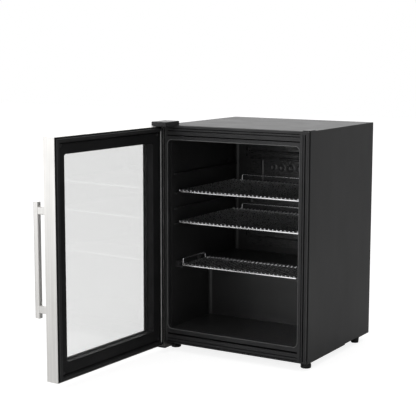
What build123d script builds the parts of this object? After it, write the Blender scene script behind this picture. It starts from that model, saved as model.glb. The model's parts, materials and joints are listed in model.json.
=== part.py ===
"""Glass-door mini fridge: steel cabinet, moulded liner with a compressor step, wire shelves, framed door.

Origin on the floor below the centre of the cabinet, X to the right, Y to the back, Z up, in millimetres.
The door is drawn closed and then swung to DOOR_OPEN about its hinge pins.
"""
import os

from build123d import *

os.makedirs("parts", exist_ok=True)

# Cabinet
FOOT_H = 18.0  # floor to the underside of the cabinet
BODY_W = 445.0
BODY_D = 396.0
BODY_H = 604.0
SHEET = 1.0  # painted steel
HEM = 12.0  # folded edges of the side panels
TOP_Z = FOOT_H + BODY_H
HALF_W = BODY_W / 2
HALF_D = BODY_D / 2
GAP = 0.2  # assembly clearance between neighbouring sheets
RAISED_EDGE = (35.0, 129.0)  # stretch of the side panels' bottom edge that is cut back
RAISE = 2.5
REAR_FLANGE = 14.5  # of the top sheet, folded down at the back
SCREW_HOLE = 2.1

# Compartment
ROOM_HALF = 194.0  # inner wall to the middle
ROOM_BACK = 152.0
FLOOR_Z = 63.0
CEILING_Z = 583.0
STEP_Y = 0.0  # front face of the step over the compressor
STEP_Z = 231.0
LINER_T = 2.0
LEDGE_DEPTH = 9.0
LEDGE_H = 5.0
LEDGE_LENGTH = 326.0
LEDGE_Y = -22.0  # middle of the ledges
LINER_FLANGE = (-209.0, 209.0, 34.0, 610.0)  # behind the front frame
BOSS_R = 5.0
BOSS_AT = (105.0, 502.0)  # Y and Z of a round boss on each wall

# Front frame of the cabinet
FRAME_Y = -212.0  # front plane, where the door gasket lands
FRAME_FLANGE = 7.0
MOUTH_HALF = 199.0
MOUTH_BOTTOM = 62.8
MOUTH_TOP = 584.0
MOUTH_R = 13.0
UPRIGHT_GROOVES = ((208.0, 2.0, 2.5), (214.2, 3.2, 4.0))  # X, width and depth, on both sides
LEVEL_GROOVES = (  # Z, width and depth, between the uprights
    (27.5, 2.0, 2.0),
    (35.5, 2.0, 2.0),
    (49.0, 4.8, 4.0),
    (595.0, 3.0, 4.0),
    (607.7, 2.0, 2.0),
    (614.4, 2.0, 2.0),
)

# Back of the cabinet
BACK_Y = 178.0  # recessed back panel
STEP_WALL_Y = 34.0  # front wall of the compressor bay
BAY_TOP = 200.0
PANEL_BOTTOM = 20.0
PAN_H = 10.0  # folded edge of the bottom panel
TRAY_H = 30.0
TRAY_T = 1.5
FOAM_PORTS = ((-180.0, 520.0), (150.0, 470.0))

# Wire shelves
ROD = 2.5
WIRE = 1.5
PITCH = 12.0
SHELF_CORNER = 6.0
OVERHANG = 3.0  # of the wires past the front and back rods
GUARD_R = 1.8
REAR_GUARD_H = 18.0
SIDE_GUARD_H = 15.0
SHELF_HALF = 185.5
SHELF_FRONT = -178.0
SHELF_BACK = 117.0
UPPER_Z = 440.0
MIDDLE_Z = 355.0
SPARE_LEVELS = (398.0, 493.0)
LOWER_Z = 237.0
LOWER_X0, LOWER_X1 = -174.0, 180.0
LOWER_FRONT = -180.0
LOWER_BACK = -47.0

# Door, closed
DOOR_OPEN = 92.0  # degrees
HINGE_X = -217.0
HINGE_Y = -235.0
DOOR_Z0 = 20.0
DOOR_Z1 = 621.0
DOOR_OUT = -253.0
DOOR_IN = -218.0
SKIN = 1.2  # stainless steel
WIN_X0, WIN_X1 = -175.0, 186.0
WIN_Z0, WIN_Z1 = 66.0, 578.0
GLASS_X0, GLASS_X1 = -185.0, 191.0
GLASS_Z0, GLASS_Z1 = 56.0, 588.0
GLASS_T = 4.0
INNER_GLASS_Y = -240.0  # outer face of the inner pane
OUTER_GLASS_Y = -251.6
LIP = 8.0  # folded edge of the stainless frame on the hinge side
GASKET_H = 5.6
GASKET_W = 10.5
PIN_R = 3.0
BUSH_R = 4.0

# Cold plate
PLATE_W, PLATE_H = 304.0, 300.0
PLATE_Z = 400.0  # its middle
PLATE_Y = 146.0
CHANNEL_L = 284.0

# Lamp and thermostat
LAMP_Y = -80.0
LAMP_L, LAMP_W = 140.0, 24.0
LENS_H = 5.6
HOUSING_Y, HOUSING_Z = -45.0, 552.0  # middle of the thermostat housing
HOUSING_OUT = 26.0  # how far it stands off the wall
KNOB_R = 16.0

# Handle
HANDLE_X = 194.5
HANDLE_SCREW_X = 195.5
HANDLE_Z0, HANDLE_Z1 = 168.0, 459.0
HANDLE_W = 13.0
HANDLE_T = 14.5
HANDLE_REACH = 40.0
POST_H = 19.5
POST_Z = (191.5, 438.0)

# Hinge plates and covers
TOP_PLATE = (-201.0, -214.0, 38.0, 48.0)  # centre in X and Y, width and length
COVER = (-198.5, -222.0, 47.0, 68.0)
COVER_H = 11.5
CAP = (211.0, -184.0, 21.0, 34.0)
BOTTOM_PLATE = (-204.0, -215.5, 36.0, 63.0)
PLATE_T = 2.5

# Hinge screws
TOP_SCREWS_X, TOP_SCREW_Y = (-210.0, -194.0), -194.3
BOTTOM_SCREWS_X, BOTTOM_SCREW_Y = (-212.0, -196.0), -188.0

# Feet
FRONT_FOOT = (202.0, -165.0)
REAR_FOOT = (205.0, 140.0)
STUD_R = 4.0
PAD_R = 14.0
NUT_R = 7.5

# Compressor
COMP_X, COMP_Y = 30.0, 108.0
COMP_R = 58.0
COMP_Z0, COMP_Z1 = 36.0, 168.0
MOUNT_X, MOUNT_Y = 82.0, 44.0
LINE_X = 125.0  # suction line
DRAIN_X, DRAIN_Y = -20.0, 130.0
GLAND_X, GLAND_Z = -150.0, 36.0
CORD_R = 3.5
GLAND_R = 6.9
LINE_R = 3.2
BEND = 12.0  # of the suction line
LINE_Y, LINE_TOP = 166.0, 520.0
DRAIN_R = 5.0
CONDENSER_Y = 188.0
CONDENSER_Z = 236.0  # lowest run
CONDENSER_STEP = 30.0
CONDENSER_HALF = 185.0
CONDENSER_R = 2.4


def tub(grow):
    """The compartment's solid form with its walls moved out by grow."""
    with BuildPart() as form:
        with BuildSketch(Plane.YZ):
            with BuildLine():
                Polyline(
                    (-HALF_D, FLOOR_Z - grow),
                    (STEP_Y + grow, FLOOR_Z - grow),
                    (STEP_Y + grow, STEP_Z - grow),
                    (ROOM_BACK + grow, STEP_Z - grow),
                    (ROOM_BACK + grow, CEILING_Z + grow),
                    (-HALF_D, CEILING_Z + grow),
                    close=True,
                )
            make_face()
        extrude(amount=ROOM_HALF + grow, both=True)
        uprights = form.edges().filter_by(Axis.Z).filter_by(lambda e: e.center().Y > STEP_Y - 1)
        fillet(uprights, 12 + grow)
    return form.part


def ring(plane, outer, inner, radius, depth):
    """A flat ring in an XZ plane between two boxes (x0, x1, z0, z1), extruded by depth towards +Y."""
    with BuildPart() as band:
        with BuildSketch(plane):
            for box, corner, mode in ((outer, radius[0], Mode.ADD), (inner, radius[1], Mode.SUBTRACT)):
                x0, x1, z0, z1 = box
                with Locations(((x0 + x1) / 2, (z0 + z1) / 2)):
                    if corner:
                        RectangleRounded(x1 - x0, z1 - z0, corner, mode=mode)
                    else:
                        Rectangle(x1 - x0, z1 - z0, mode=mode)
        extrude(amount=-depth)
    return band.part


def facing(y):
    """An XZ plane at y, whose normal is -Y, with X and Z as its own axes."""
    return Plane.XZ.offset(-y)


def grown(box, amount):
    """The box (x0, x1, z0, z1) grown by amount on every side."""
    return (box[0] - amount, box[1] + amount, box[2] - amount, box[3] + amount)


def pipe(points, bend, radius):
    """A round rod or tube form along straight runs joined by bends."""
    with BuildPart() as rod:
        with BuildLine():
            route = FilletPolyline(*points, radius=bend)
        with BuildSketch(Plane(origin=route @ 0, z_dir=route % 0)):
            Circle(radius)
        sweep()
    return rod.part


def slab(x, y, z):
    """A block between two corners given as (low, high) on each axis, for cuts and simple sheets."""
    with BuildPart() as block:
        with Locations(((x[0] + x[1]) / 2, (y[0] + y[1]) / 2, (z[0] + z[1]) / 2)):
            Box(x[1] - x[0], y[1] - y[0], z[1] - z[0])
    return block.part


# ---------------------------------------------------------------- cabinet sheets
def side_panel(side):
    """A painted side panel: a shallow channel whose bottom edge steps up past the compressor bay."""
    with BuildPart() as panel:
        with BuildSketch(Plane.XY.offset(FOOT_H)):
            with Locations((side * (HALF_W - HEM / 2), 0)):
                Rectangle(HEM, BODY_D)
            with Locations((side * (HALF_W - HEM / 2 - SHEET), 0)):
                Rectangle(HEM, BODY_D - 2 * SHEET, mode=Mode.SUBTRACT)
        extrude(amount=BODY_H - SHEET)
        with Locations((side * HALF_W, sum(RAISED_EDGE) / 2, FOOT_H)):
            Box(4 * SHEET, RAISED_EDGE[1] - RAISED_EDGE[0], 2 * RAISE, mode=Mode.SUBTRACT)
    return panel


right_side_panel = side_panel(1)
left_side_panel = side_panel(-1)

with BuildPart() as top_panel:
    with BuildSketch(Plane.XY.offset(TOP_Z - SHEET)):
        Rectangle(BODY_W, BODY_D)
    extrude(amount=SHEET)
    fillet(top_panel.faces().sort_by(Axis.Z)[-1].edges(), 0.6)
    with Locations((0, HALF_D - SHEET / 2, TOP_Z - SHEET / 2 - REAR_FLANGE / 2)):
        Box(BODY_W - 2 * HEM - 2, SHEET, REAR_FLANGE)
    with Locations(*[(x, TOP_SCREW_Y, TOP_Z) for x in TOP_SCREWS_X]):
        Hole(SCREW_HOLE)

with BuildPart() as back_panel:
    with BuildSketch(facing(BACK_Y)):
        with Locations((0, (BAY_TOP + SHEET + TOP_Z - SHEET) / 2)):
            Rectangle(BODY_W - 2 * SHEET - 2 * GAP, TOP_Z - BAY_TOP - 2 * SHEET - 2 * GAP)
    extrude(amount=-SHEET)
    with Locations(facing(BACK_Y)):
        with Locations(*FOAM_PORTS):
            Hole(5)

with BuildPart() as bay_panel:
    with BuildSketch(Plane.YZ):
        with BuildLine():
            Polyline(
                (STEP_WALL_Y, PANEL_BOTTOM),
                (STEP_WALL_Y + SHEET, PANEL_BOTTOM),
                (STEP_WALL_Y + SHEET, BAY_TOP),
                (BACK_Y + SHEET, BAY_TOP),
                (BACK_Y + SHEET, BAY_TOP + SHEET),
                (STEP_WALL_Y, BAY_TOP + SHEET),
                close=True,
            )
        make_face()
    extrude(amount=HALF_W - SHEET - GAP, both=True)
    with Locations((LINE_X, LINE_Y, BAY_TOP)):
        Hole(LINE_R + 1.8)
    with Locations((DRAIN_X, DRAIN_Y, BAY_TOP)):
        Hole(DRAIN_R + 1)

with BuildPart() as bottom_panel:
    add(
        slab(
            (-HALF_W + SHEET + GAP, HALF_W - SHEET - GAP),
            (-HALF_D + 1.6, STEP_WALL_Y - 0.6),
            (PANEL_BOTTOM, PANEL_BOTTOM + PAN_H),
        )
    )
    offset(amount=-SHEET, openings=bottom_panel.faces().sort_by(Axis.Z)[-1])
    with BuildSketch(Plane.XY.offset(PANEL_BOTTOM + SHEET)):
        with Locations((-FRONT_FOOT[0], FRONT_FOOT[1]), (FRONT_FOOT[0], FRONT_FOOT[1])):
            RegularPolygon(NUT_R, 6)
    extrude(amount=6)
    with Locations(*[(side * FRONT_FOOT[0], FRONT_FOOT[1], PANEL_BOTTOM) for side in (-1, 1)]):
        Hole(STUD_R + 0.06)
    with Locations(*[(x, BOTTOM_SCREW_Y, PANEL_BOTTOM) for x in BOTTOM_SCREWS_X]):
        Hole(SCREW_HOLE)

with BuildPart() as compressor_tray:
    with Locations((0, (STEP_WALL_Y + 2 + HALF_D - SHEET) / 2, PANEL_BOTTOM + TRAY_H / 2)):
        Box(BODY_W - 2 * SHEET - 2 * GAP, HALF_D - SHEET - STEP_WALL_Y - 2, TRAY_H)
    offset(amount=-TRAY_T, openings=compressor_tray.faces().sort_by(Axis.Z)[-1])
    with Locations((0, STEP_WALL_Y + 4, PANEL_BOTTOM + 5 + TRAY_H / 2)):
        Box(BODY_W - 8, 12, TRAY_H, mode=Mode.SUBTRACT)
    with Locations((COMP_X, COMP_Y, PANEL_BOTTOM)):
        with GridLocations(2 * MOUNT_X, 2 * MOUNT_Y, 2, 2):
            Hole(3.4)
    with Locations((-REAR_FOOT[0], REAR_FOOT[1], PANEL_BOTTOM), (REAR_FOOT[0], REAR_FOOT[1], PANEL_BOTTOM)):
        Hole(2.4)
    with Locations(Plane.XZ.offset(-HALF_D)):
        with Locations((GLAND_X, GLAND_Z)):
            Hole(GLAND_R + 0.1, depth=6)

# ---------------------------------------------------------------- liner, foam and front frame
room = tub(0)
room_shell = tub(LINER_T)
foam_cut = tub(LINER_T + 0.05)

with BuildPart() as inner_liner:
    add(room_shell)
    add(room, mode=Mode.SUBTRACT)
    room_opening = grown((-ROOM_HALF, ROOM_HALF, FLOOR_Z, CEILING_Z), 1)
    add(ring(facing(1 - HALF_D), LINER_FLANGE, room_opening, (8, 0), LINER_T))
    for level in (MIDDLE_Z, UPPER_Z) + SPARE_LEVELS:
        for side in (-1, 1):
            with BuildSketch(Plane.XY.offset(level - ROD - 0.3 - LEDGE_H)):
                with Locations((side * (ROOM_HALF - LEDGE_DEPTH / 2 + 0.5), LEDGE_Y)):
                    Rectangle(LEDGE_DEPTH + 1, LEDGE_LENGTH)
            extrude(amount=LEDGE_H)
    for side in (-1, 1):
        with Locations(Location((side * (ROOM_HALF - 0.5), *BOSS_AT), (0, 90, 0))):
            Cylinder(BOSS_R, 5)
    with Locations((DRAIN_X, DRAIN_Y, STEP_Z)):
        Hole(DRAIN_R - 1.5)
    with Locations(Plane.XZ.offset(-ROOM_BACK - LINER_T)):
        with Locations((LINE_X, LINE_TOP)):
            Hole(LINE_R + 0.8, depth=8)

LINE_IN_FOAM = ((LINE_X, 140, LINE_TOP), (LINE_X, LINE_Y, LINE_TOP), (LINE_X, LINE_Y, 190))

with BuildPart() as foam_insulation:
    with BuildSketch(Plane.YZ):
        with BuildLine():
            Polyline(
                (-194.8, PANEL_BOTTOM + 1.2),
                (STEP_WALL_Y - 2.2, PANEL_BOTTOM + 1.2),
                (STEP_WALL_Y - 2.2, BAY_TOP + 1.2),
                (BACK_Y - GAP, BAY_TOP + 1.2),
                (BACK_Y - GAP, TOP_Z - SHEET - GAP),
                (-194.8, TOP_Z - SHEET - GAP),
                close=True,
            )
        make_face()
    extrude(amount=HALF_W - 2.6, both=True)
    add(foam_cut, mode=Mode.SUBTRACT)
    add(pipe(LINE_IN_FOAM, BEND, LINE_R + 1), mode=Mode.SUBTRACT)
    with Locations((DRAIN_X, DRAIN_Y, 215)):
        Cylinder(DRAIN_R + 0.5, 40, mode=Mode.SUBTRACT)
    for side in (-1, 1):
        with Locations((side * FRONT_FOOT[0], FRONT_FOOT[1], PANEL_BOTTOM + 8)):
            Cylinder(9, 20, mode=Mode.SUBTRACT)
    with Locations((-202, TOP_SCREW_Y, TOP_Z - 8)):
        Box(34, 12, 24, mode=Mode.SUBTRACT)
    with Locations((-204, BOTTOM_SCREW_Y, PANEL_BOTTOM)):
        Box(34, 20, 22, mode=Mode.SUBTRACT)

FRAME_OUT = (-HALF_W + 0.5, HALF_W - 0.5, FOOT_H + 4, TOP_Z)
MOUTH = (-MOUTH_HALF, MOUTH_HALF, MOUTH_BOTTOM, MOUTH_TOP)

with BuildPart() as front_frame:
    add(ring(facing(FRAME_Y), FRAME_OUT, MOUTH, (2, MOUTH_R), FRAME_FLANGE))
    add(ring(facing(FRAME_Y + FRAME_FLANGE), grown(FRAME_OUT, -5), MOUTH, (2, MOUTH_R), 7))
    for x, width, depth in UPRIGHT_GROOVES:
        with Locations((-x, FRAME_Y, (FOOT_H + TOP_Z) / 2), (x, FRAME_Y, (FOOT_H + TOP_Z) / 2)):
            Box(width, 2 * depth, BODY_H - 16, mode=Mode.SUBTRACT)
    for z, width, depth in LEVEL_GROOVES:
        with Locations((0, FRAME_Y, z)):
            Box(2 * MOUTH_HALF, 2 * depth, width, mode=Mode.SUBTRACT)
    fillet(front_frame.faces().sort_by(Axis.Y)[0].outer_wire().edges(), 1.2)

# ---------------------------------------------------------------- cold plate and its fittings
with BuildPart() as evaporator_plate:
    with BuildSketch(facing(PLATE_Y)):
        with Locations((0, PLATE_Z)):
            RectangleRounded(PLATE_W, PLATE_H, 8)
    extrude(amount=-1.6)
    with BuildSketch(facing(PLATE_Y)):
        for row in range(5):
            with Locations((0, PLATE_Z - 120 + 32 * row)):
                SlotOverall(CHANNEL_L, 7)
        with Locations((0, PLATE_Z + 106), (0, PLATE_Z + 126)):
            SlotOverall(CHANNEL_L, 6)
        with Locations((-7, PLATE_Z + 83)):
            with GridLocations(29, 1, 5, 1):
                Circle(9)
                Circle(6, mode=Mode.SUBTRACT)
        with Locations((-102, 470)):
            Rectangle(5, 118)
        with Locations((102, 350)):
            Rectangle(5, 150)
    extrude(amount=1.4)

with BuildPart() as evaporator_clips:
    for side in (-1, 1):
        for z in (290, 526):
            with Locations((side * (PLATE_W / 2 + 5), PLATE_Y + 1.3, z)):
                Box(7, 9.2, 30)
            with Locations((side * (PLATE_W / 2 + 0.3), PLATE_Y - 2.4, z)):
                Box(12, 1.8, 8)

with BuildPart() as led_board:
    with Locations((0, LAMP_Y, CEILING_Z - 0.85)):
        Box(LAMP_L, LAMP_W, 1.6)
    with Locations((0, LAMP_Y, CEILING_Z - 2.25)):
        with GridLocations(20, 1, 7, 1):
            Box(5, 5, 1.2)

with BuildPart() as lamp_lens:
    with Locations((0, LAMP_Y, CEILING_Z - 0.05 - LENS_H / 2)):
        Box(LAMP_L + 6.4, LAMP_W + 6.4, LENS_H)
    fillet(lamp_lens.edges().filter_by(Axis.Z), 1)
    offset(amount=-2, openings=lamp_lens.faces().sort_by(Axis.Z)[-1])

KNOB_AT = (ROOM_HALF - HOUSING_OUT, HOUSING_Y + 25, HOUSING_Z)
SWITCH_AT = (ROOM_HALF - HOUSING_OUT, HOUSING_Y - 33, HOUSING_Z)
KNOB_FACE = Plane(origin=KNOB_AT, z_dir=(-1, 0, 0))

with BuildPart() as thermostat_housing:
    with Locations((ROOM_HALF - HOUSING_OUT / 2, HOUSING_Y, HOUSING_Z)):
        Box(HOUSING_OUT, 130, 46)
    fillet(thermostat_housing.faces().sort_by(Axis.X)[0].edges(), 3)
    with Locations((ROOM_HALF - HOUSING_OUT / 2 + 2, HOUSING_Y, HOUSING_Z)):
        Box(HOUSING_OUT - 4, 125, 41, mode=Mode.SUBTRACT)
    with Locations(KNOB_FACE):
        Cylinder(4, 20, mode=Mode.SUBTRACT)
    with Locations(SWITCH_AT):
        Box(12, 24, 15, mode=Mode.SUBTRACT)

with BuildPart() as thermostat_knob:
    with BuildSketch(KNOB_FACE.offset(0.5)):
        Circle(KNOB_R)
    extrude(amount=10, taper=6)
    with BuildSketch(KNOB_FACE.offset(10.5)):
        RectangleRounded(24, 6, 2)
    extrude(amount=4)
    with BuildSketch(KNOB_FACE.offset(0.5)):
        Circle(3.5)
    extrude(amount=-6)

with BuildPart() as light_switch:
    with BuildSketch(Plane.XZ.offset(-SWITCH_AT[1])):
        with BuildLine():
            Polyline((171, 546), (165.5, 545.5), (167, 552), (163, 558.5), (171, 558), close=True)
        make_face()
    extrude(amount=11, both=True)
    with Locations(Location((SWITCH_AT[0] + 1, SWITCH_AT[1], SWITCH_AT[2]), (90, 0, 0))):
        Cylinder(1.4, 23.6)

# ---------------------------------------------------------------- wire shelves
def guard_rail(corners, level, height):
    """A raised rail bent from one rod, its feet welded to the shelf frame at the two corners."""
    (x0, y0), (x1, y1) = corners
    foot = level + ROD - 0.6
    top = foot + height
    return pipe(((x0, y0, foot), (x0, y0, top), (x1, y1, top), (x1, y1, foot)), 5, GUARD_R)


def shelf_frame(sides, ends, level, rails, height):
    """The rod round a shelf, with its raised rails."""
    (x0, x1), (front, back) = sides, ends
    with BuildPart() as frame:
        with BuildSketch(Plane.XY.offset(level), mode=Mode.PRIVATE) as outline:
            with Locations(((x0 + x1) / 2, (front + back) / 2)):
                RectangleRounded(x1 - x0, back - front, SHELF_CORNER)
        route = outline.sketch.face().outer_wire()
        with BuildSketch(Plane(origin=route @ 0, z_dir=route % 0)):
            Circle(ROD)
        sweep(path=route)
        for corners in rails:
            add(guard_rail(corners, level, height))
    return frame


def shelf_wires(sides, ends, level):
    """The fine wires laid front to back on the frame, each a separate rod."""
    count = int((sides[1] - sides[0] - 8) / PITCH)
    height = level + ROD + WIRE + 0.02
    with BuildPart() as wires:
        for step in range(count + 1):
            x = sum(sides) / 2 + (step - count / 2) * PITCH
            with Locations(Location((x, sum(ends) / 2, height), (90, 0, 0))):
                Cylinder(WIRE, ends[1] - ends[0])
    return wires


REAR_RAIL = ((-152, SHELF_BACK), (152, SHELF_BACK))
SHELF_SIDES = (-SHELF_HALF, SHELF_HALF)
SHELF_ENDS = (SHELF_FRONT, SHELF_BACK)
WIRE_ENDS = (SHELF_FRONT - OVERHANG, SHELF_BACK + OVERHANG)
LOWER_SIDES = (LOWER_X0, LOWER_X1)
SIDE_RAILS = [((x, LOWER_FRONT + 8), (x, LOWER_BACK - 8)) for x in LOWER_SIDES]

shelf_upper_frame = shelf_frame(SHELF_SIDES, SHELF_ENDS, UPPER_Z, [REAR_RAIL], REAR_GUARD_H)
shelf_upper_wires = shelf_wires(SHELF_SIDES, WIRE_ENDS, UPPER_Z)
shelf_middle_frame = shelf_frame(SHELF_SIDES, SHELF_ENDS, MIDDLE_Z, [REAR_RAIL], REAR_GUARD_H)
shelf_middle_wires = shelf_wires(SHELF_SIDES, WIRE_ENDS, MIDDLE_Z)
LOWER_ENDS = (LOWER_FRONT, LOWER_BACK)
shelf_lower_frame = shelf_frame(LOWER_SIDES, LOWER_ENDS, LOWER_Z, SIDE_RAILS, SIDE_GUARD_H)
shelf_lower_wires = shelf_wires(LOWER_SIDES, (LOWER_FRONT, LOWER_BACK + OVERHANG), LOWER_Z)

with BuildPart() as lower_shelf_supports:
    for wall, rod_x, away in ((-ROOM_HALF, LOWER_X0, -1), (ROOM_HALF, LOWER_X1, 1)):
        for y in (-170, -58):
            tongue = sorted((wall, rod_x - away * 4))
            cheek = sorted((wall, rod_x + away * (ROD + 5.5)))
            under = LOWER_Z - ROD - 0.3
            add(slab(tongue, (y - 10, y + 10), (under - 5, under)))
            add(slab(cheek, (y - 10, y + 10), (under - 5, LOWER_Z + 10)))

# ---------------------------------------------------------------- compressor bay
with BuildPart() as compressor_shell:
    with BuildSketch(Plane.XZ.offset(-COMP_Y)):
        with BuildLine():
            Polyline((COMP_X, COMP_Z0), (COMP_X + COMP_R - 16, COMP_Z0))
            RadiusArc((COMP_X + COMP_R - 16, COMP_Z0), (COMP_X + COMP_R, COMP_Z0 + 16), -16)
            Polyline(
                (COMP_X + COMP_R, COMP_Z0 + 16),
                (COMP_X + COMP_R, COMP_Z0 + 70),
                (COMP_X + COMP_R + 4, COMP_Z0 + 70),
                (COMP_X + COMP_R + 4, COMP_Z0 + 76),
                (COMP_X + COMP_R, COMP_Z0 + 76),
                (COMP_X + COMP_R, COMP_Z1 - 34),
            )
            RadiusArc((COMP_X + COMP_R, COMP_Z1 - 34), (COMP_X + COMP_R - 34, COMP_Z1), -34)
            Polyline((COMP_X + COMP_R - 34, COMP_Z1), (COMP_X, COMP_Z1), (COMP_X, COMP_Z0))
        make_face()
    revolve(axis=Axis((COMP_X, COMP_Y, 0), (0, 0, 1)))
    with Locations((COMP_X, COMP_Y, (COMP_Z0 + COMP_Z1) / 2 - 4)):
        Cylinder(COMP_R - 4, COMP_Z1 - COMP_Z0 - 40, mode=Mode.SUBTRACT)

with BuildPart() as compressor_motor:
    with Locations((COMP_X, COMP_Y, 98)):
        Cylinder(36, 84)

with BuildPart() as compressor_base:
    with BuildSketch(Plane.XY.offset(COMP_Z0 - 2.5)):
        with Locations((COMP_X, COMP_Y)):
            RectangleRounded(2 * MOUNT_X + 24, 2 * MOUNT_Y + 24, 10)
            with GridLocations(2 * MOUNT_X, 2 * MOUNT_Y, 2, 2):
                Circle(3.4, mode=Mode.SUBTRACT)
    extrude(amount=2.5)

with BuildPart() as compressor_grommets:
    with Locations((COMP_X, COMP_Y, 0)):
        with GridLocations(2 * MOUNT_X, 2 * MOUNT_Y, 2, 2):
            with Locations((0, 0, 27.5)):
                Cylinder(9, 11.9)
                Cylinder(3.4, 11.9, mode=Mode.SUBTRACT)

with BuildPart() as compressor_bolts:
    with Locations((COMP_X, COMP_Y, 27.1)):
        with GridLocations(2 * MOUNT_X, 2 * MOUNT_Y, 2, 2):
            Cylinder(3, 24.2)
    with Locations((COMP_X, COMP_Y, 36.6)):
        with GridLocations(2 * MOUNT_X, 2 * MOUNT_Y, 2, 2):
            Cylinder(8, 1)
    for nut_z in (15, 37.1):
        with BuildSketch(Plane.XY.offset(nut_z)):
            with Locations((COMP_X, COMP_Y)):
                with GridLocations(2 * MOUNT_X, 2 * MOUNT_Y, 2, 2):
                    RegularPolygon(5.5, 6)
        extrude(amount=4)

with BuildPart() as terminal_cover:
    with Locations((COMP_X - COMP_R - 13, COMP_Y, 98)):
        Box(24, 44, 52)
    fillet(terminal_cover.edges().filter_by(Axis.X), 4)
    with Locations((COMP_X, COMP_Y, 98)):
        Cylinder(COMP_R + 4.3, 60, mode=Mode.SUBTRACT)

with BuildPart() as condensate_tray:
    with Locations((COMP_X, COMP_Y, 177.5)):
        Box(150, 90, 18)
    fillet(condensate_tray.edges().filter_by(Axis.Z), 10)
    offset(amount=-2, openings=condensate_tray.faces().sort_by(Axis.Z)[-1])

with BuildPart() as drain_tube:
    with Locations((DRAIN_X, DRAIN_Y, 208)):
        Cylinder(DRAIN_R, 41.6)
        Cylinder(DRAIN_R - 1.5, 41.6, mode=Mode.SUBTRACT)

with BuildPart() as suction_line:
    add(
        pipe(
            (
                (LINE_X, PLATE_Y + 1.8, LINE_TOP),
                (LINE_X, LINE_Y, LINE_TOP),
                (LINE_X, LINE_Y, 140),
                (LINE_X, COMP_Y, 140),
                (COMP_X + COMP_R + 0.5, COMP_Y, 140),
            ),
            BEND,
            LINE_R,
        )
    )

with BuildPart() as condenser_tube:
    route = [
        (COMP_X, COMP_Y + COMP_R + 0.5, 128),
        (COMP_X, CONDENSER_Y, 128),
        (-CONDENSER_HALF, CONDENSER_Y, 128),
    ]
    for row in range(12):
        z = CONDENSER_Z + CONDENSER_STEP * row
        start = -CONDENSER_HALF if row % 2 == 0 else CONDENSER_HALF
        route += [(start, CONDENSER_Y, z), (-start, CONDENSER_Y, z)]
    add(pipe(route, 10, CONDENSER_R))

with BuildPart() as condenser_wires:
    for x in range(-168, 169, 14):
        for y in (CONDENSER_Y - CONDENSER_R - 0.85, CONDENSER_Y + CONDENSER_R + 0.85):
            with Locations((x, y, CONDENSER_Z + 5.5 * CONDENSER_STEP)):
                Cylinder(0.8, 350)

with BuildPart() as filter_drier:
    with Locations((100, 186, 150)):
        Cylinder(8, 60)
    fillet(filter_drier.edges(), 3)

with BuildPart() as cord_gland:
    with Locations(Location((GLAND_X, HALF_D - 4.5, GLAND_Z), (90, 0, 0))):
        Cylinder(GLAND_R, 9)
        with Locations((0, 0, -4)):
            Cylinder(9.5, 1)
        Cylinder(CORD_R, 30, mode=Mode.SUBTRACT)

# ---------------------------------------------------------------- feet
def front_foot(side):
    """A levelling foot: moulded pad with its threaded stud."""
    with BuildPart() as foot:
        with Locations((side * FRONT_FOOT[0], FRONT_FOOT[1], 6)):
            Cylinder(PAD_R, 12)
        fillet(foot.edges().group_by(Axis.Z)[-1], 3)
        fillet(foot.edges().group_by(Axis.Z)[0], 1)
        with Locations((side * FRONT_FOOT[0], FRONT_FOOT[1], 20)):
            Cylinder(STUD_R, 16)
        with BuildSketch(Plane.XY.offset(12)):
            with Locations((side * FRONT_FOOT[0], FRONT_FOOT[1])):
                RegularPolygon(NUT_R, 6)
        extrude(amount=3.5)
    return foot


front_foot_left = front_foot(-1)
front_foot_right = front_foot(1)

with BuildPart() as rear_feet:
    for side in (-1, 1):
        with BuildSketch(Plane.XY):
            with Locations((side * REAR_FOOT[0], REAR_FOOT[1])):
                Circle(10.5)
        extrude(amount=PANEL_BOTTOM - 0.1, taper=-6)
        with Locations((side * REAR_FOOT[0], REAR_FOOT[1], PANEL_BOTTOM + 2)):
            Cylinder(2.2, 8)

# ---------------------------------------------------------------- hinges
with BuildPart() as top_hinge_bracket:
    with BuildSketch(Plane.XY.offset(TOP_Z)):
        with Locations(TOP_PLATE[:2]):
            Rectangle(*TOP_PLATE[2:])
    extrude(amount=PLATE_T)
    fillet(top_hinge_bracket.edges().filter_by(Axis.Z), 3)
    with Locations((HINGE_X, HINGE_Y, TOP_Z - 5)):
        Cylinder(PIN_R, 15)
    with Locations(*[(x, TOP_SCREW_Y, TOP_Z) for x in TOP_SCREWS_X]):
        Hole(2.3)

with BuildPart() as top_hinge_cover:
    with Locations((*COVER[:2], TOP_Z + 0.05 + COVER_H / 2)):
        Box(*COVER[2:], COVER_H)
    fillet(top_hinge_cover.edges().filter_by(Axis.Z), 3)
    fillet(top_hinge_cover.faces().sort_by(Axis.Z)[-1].edges(), 1)
    with Locations((*COVER[:2], TOP_Z + 4.3)):
        Box(COVER[2] - 4, COVER[3] - 4, 8.6, mode=Mode.SUBTRACT)

with BuildPart() as hinge_hole_cap:
    with BuildSketch(Plane.XY.offset(TOP_Z + 0.1)):
        with Locations(CAP[:2]):
            RectangleRounded(*CAP[2:], 2)
    extrude(amount=2)

with BuildPart() as bottom_hinge_bracket:
    with BuildSketch(Plane.XY.offset(FOOT_H - 2.6)):
        with Locations(BOTTOM_PLATE[:2]):
            RectangleRounded(*BOTTOM_PLATE[2:], 3)
    extrude(amount=PLATE_T)
    with Locations((HINGE_X, HINGE_Y, 23)):
        Cylinder(PIN_R, 13)
    with Locations(*[(x, BOTTOM_SCREW_Y, FOOT_H) for x in BOTTOM_SCREWS_X]):
        Hole(2.3)

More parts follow.
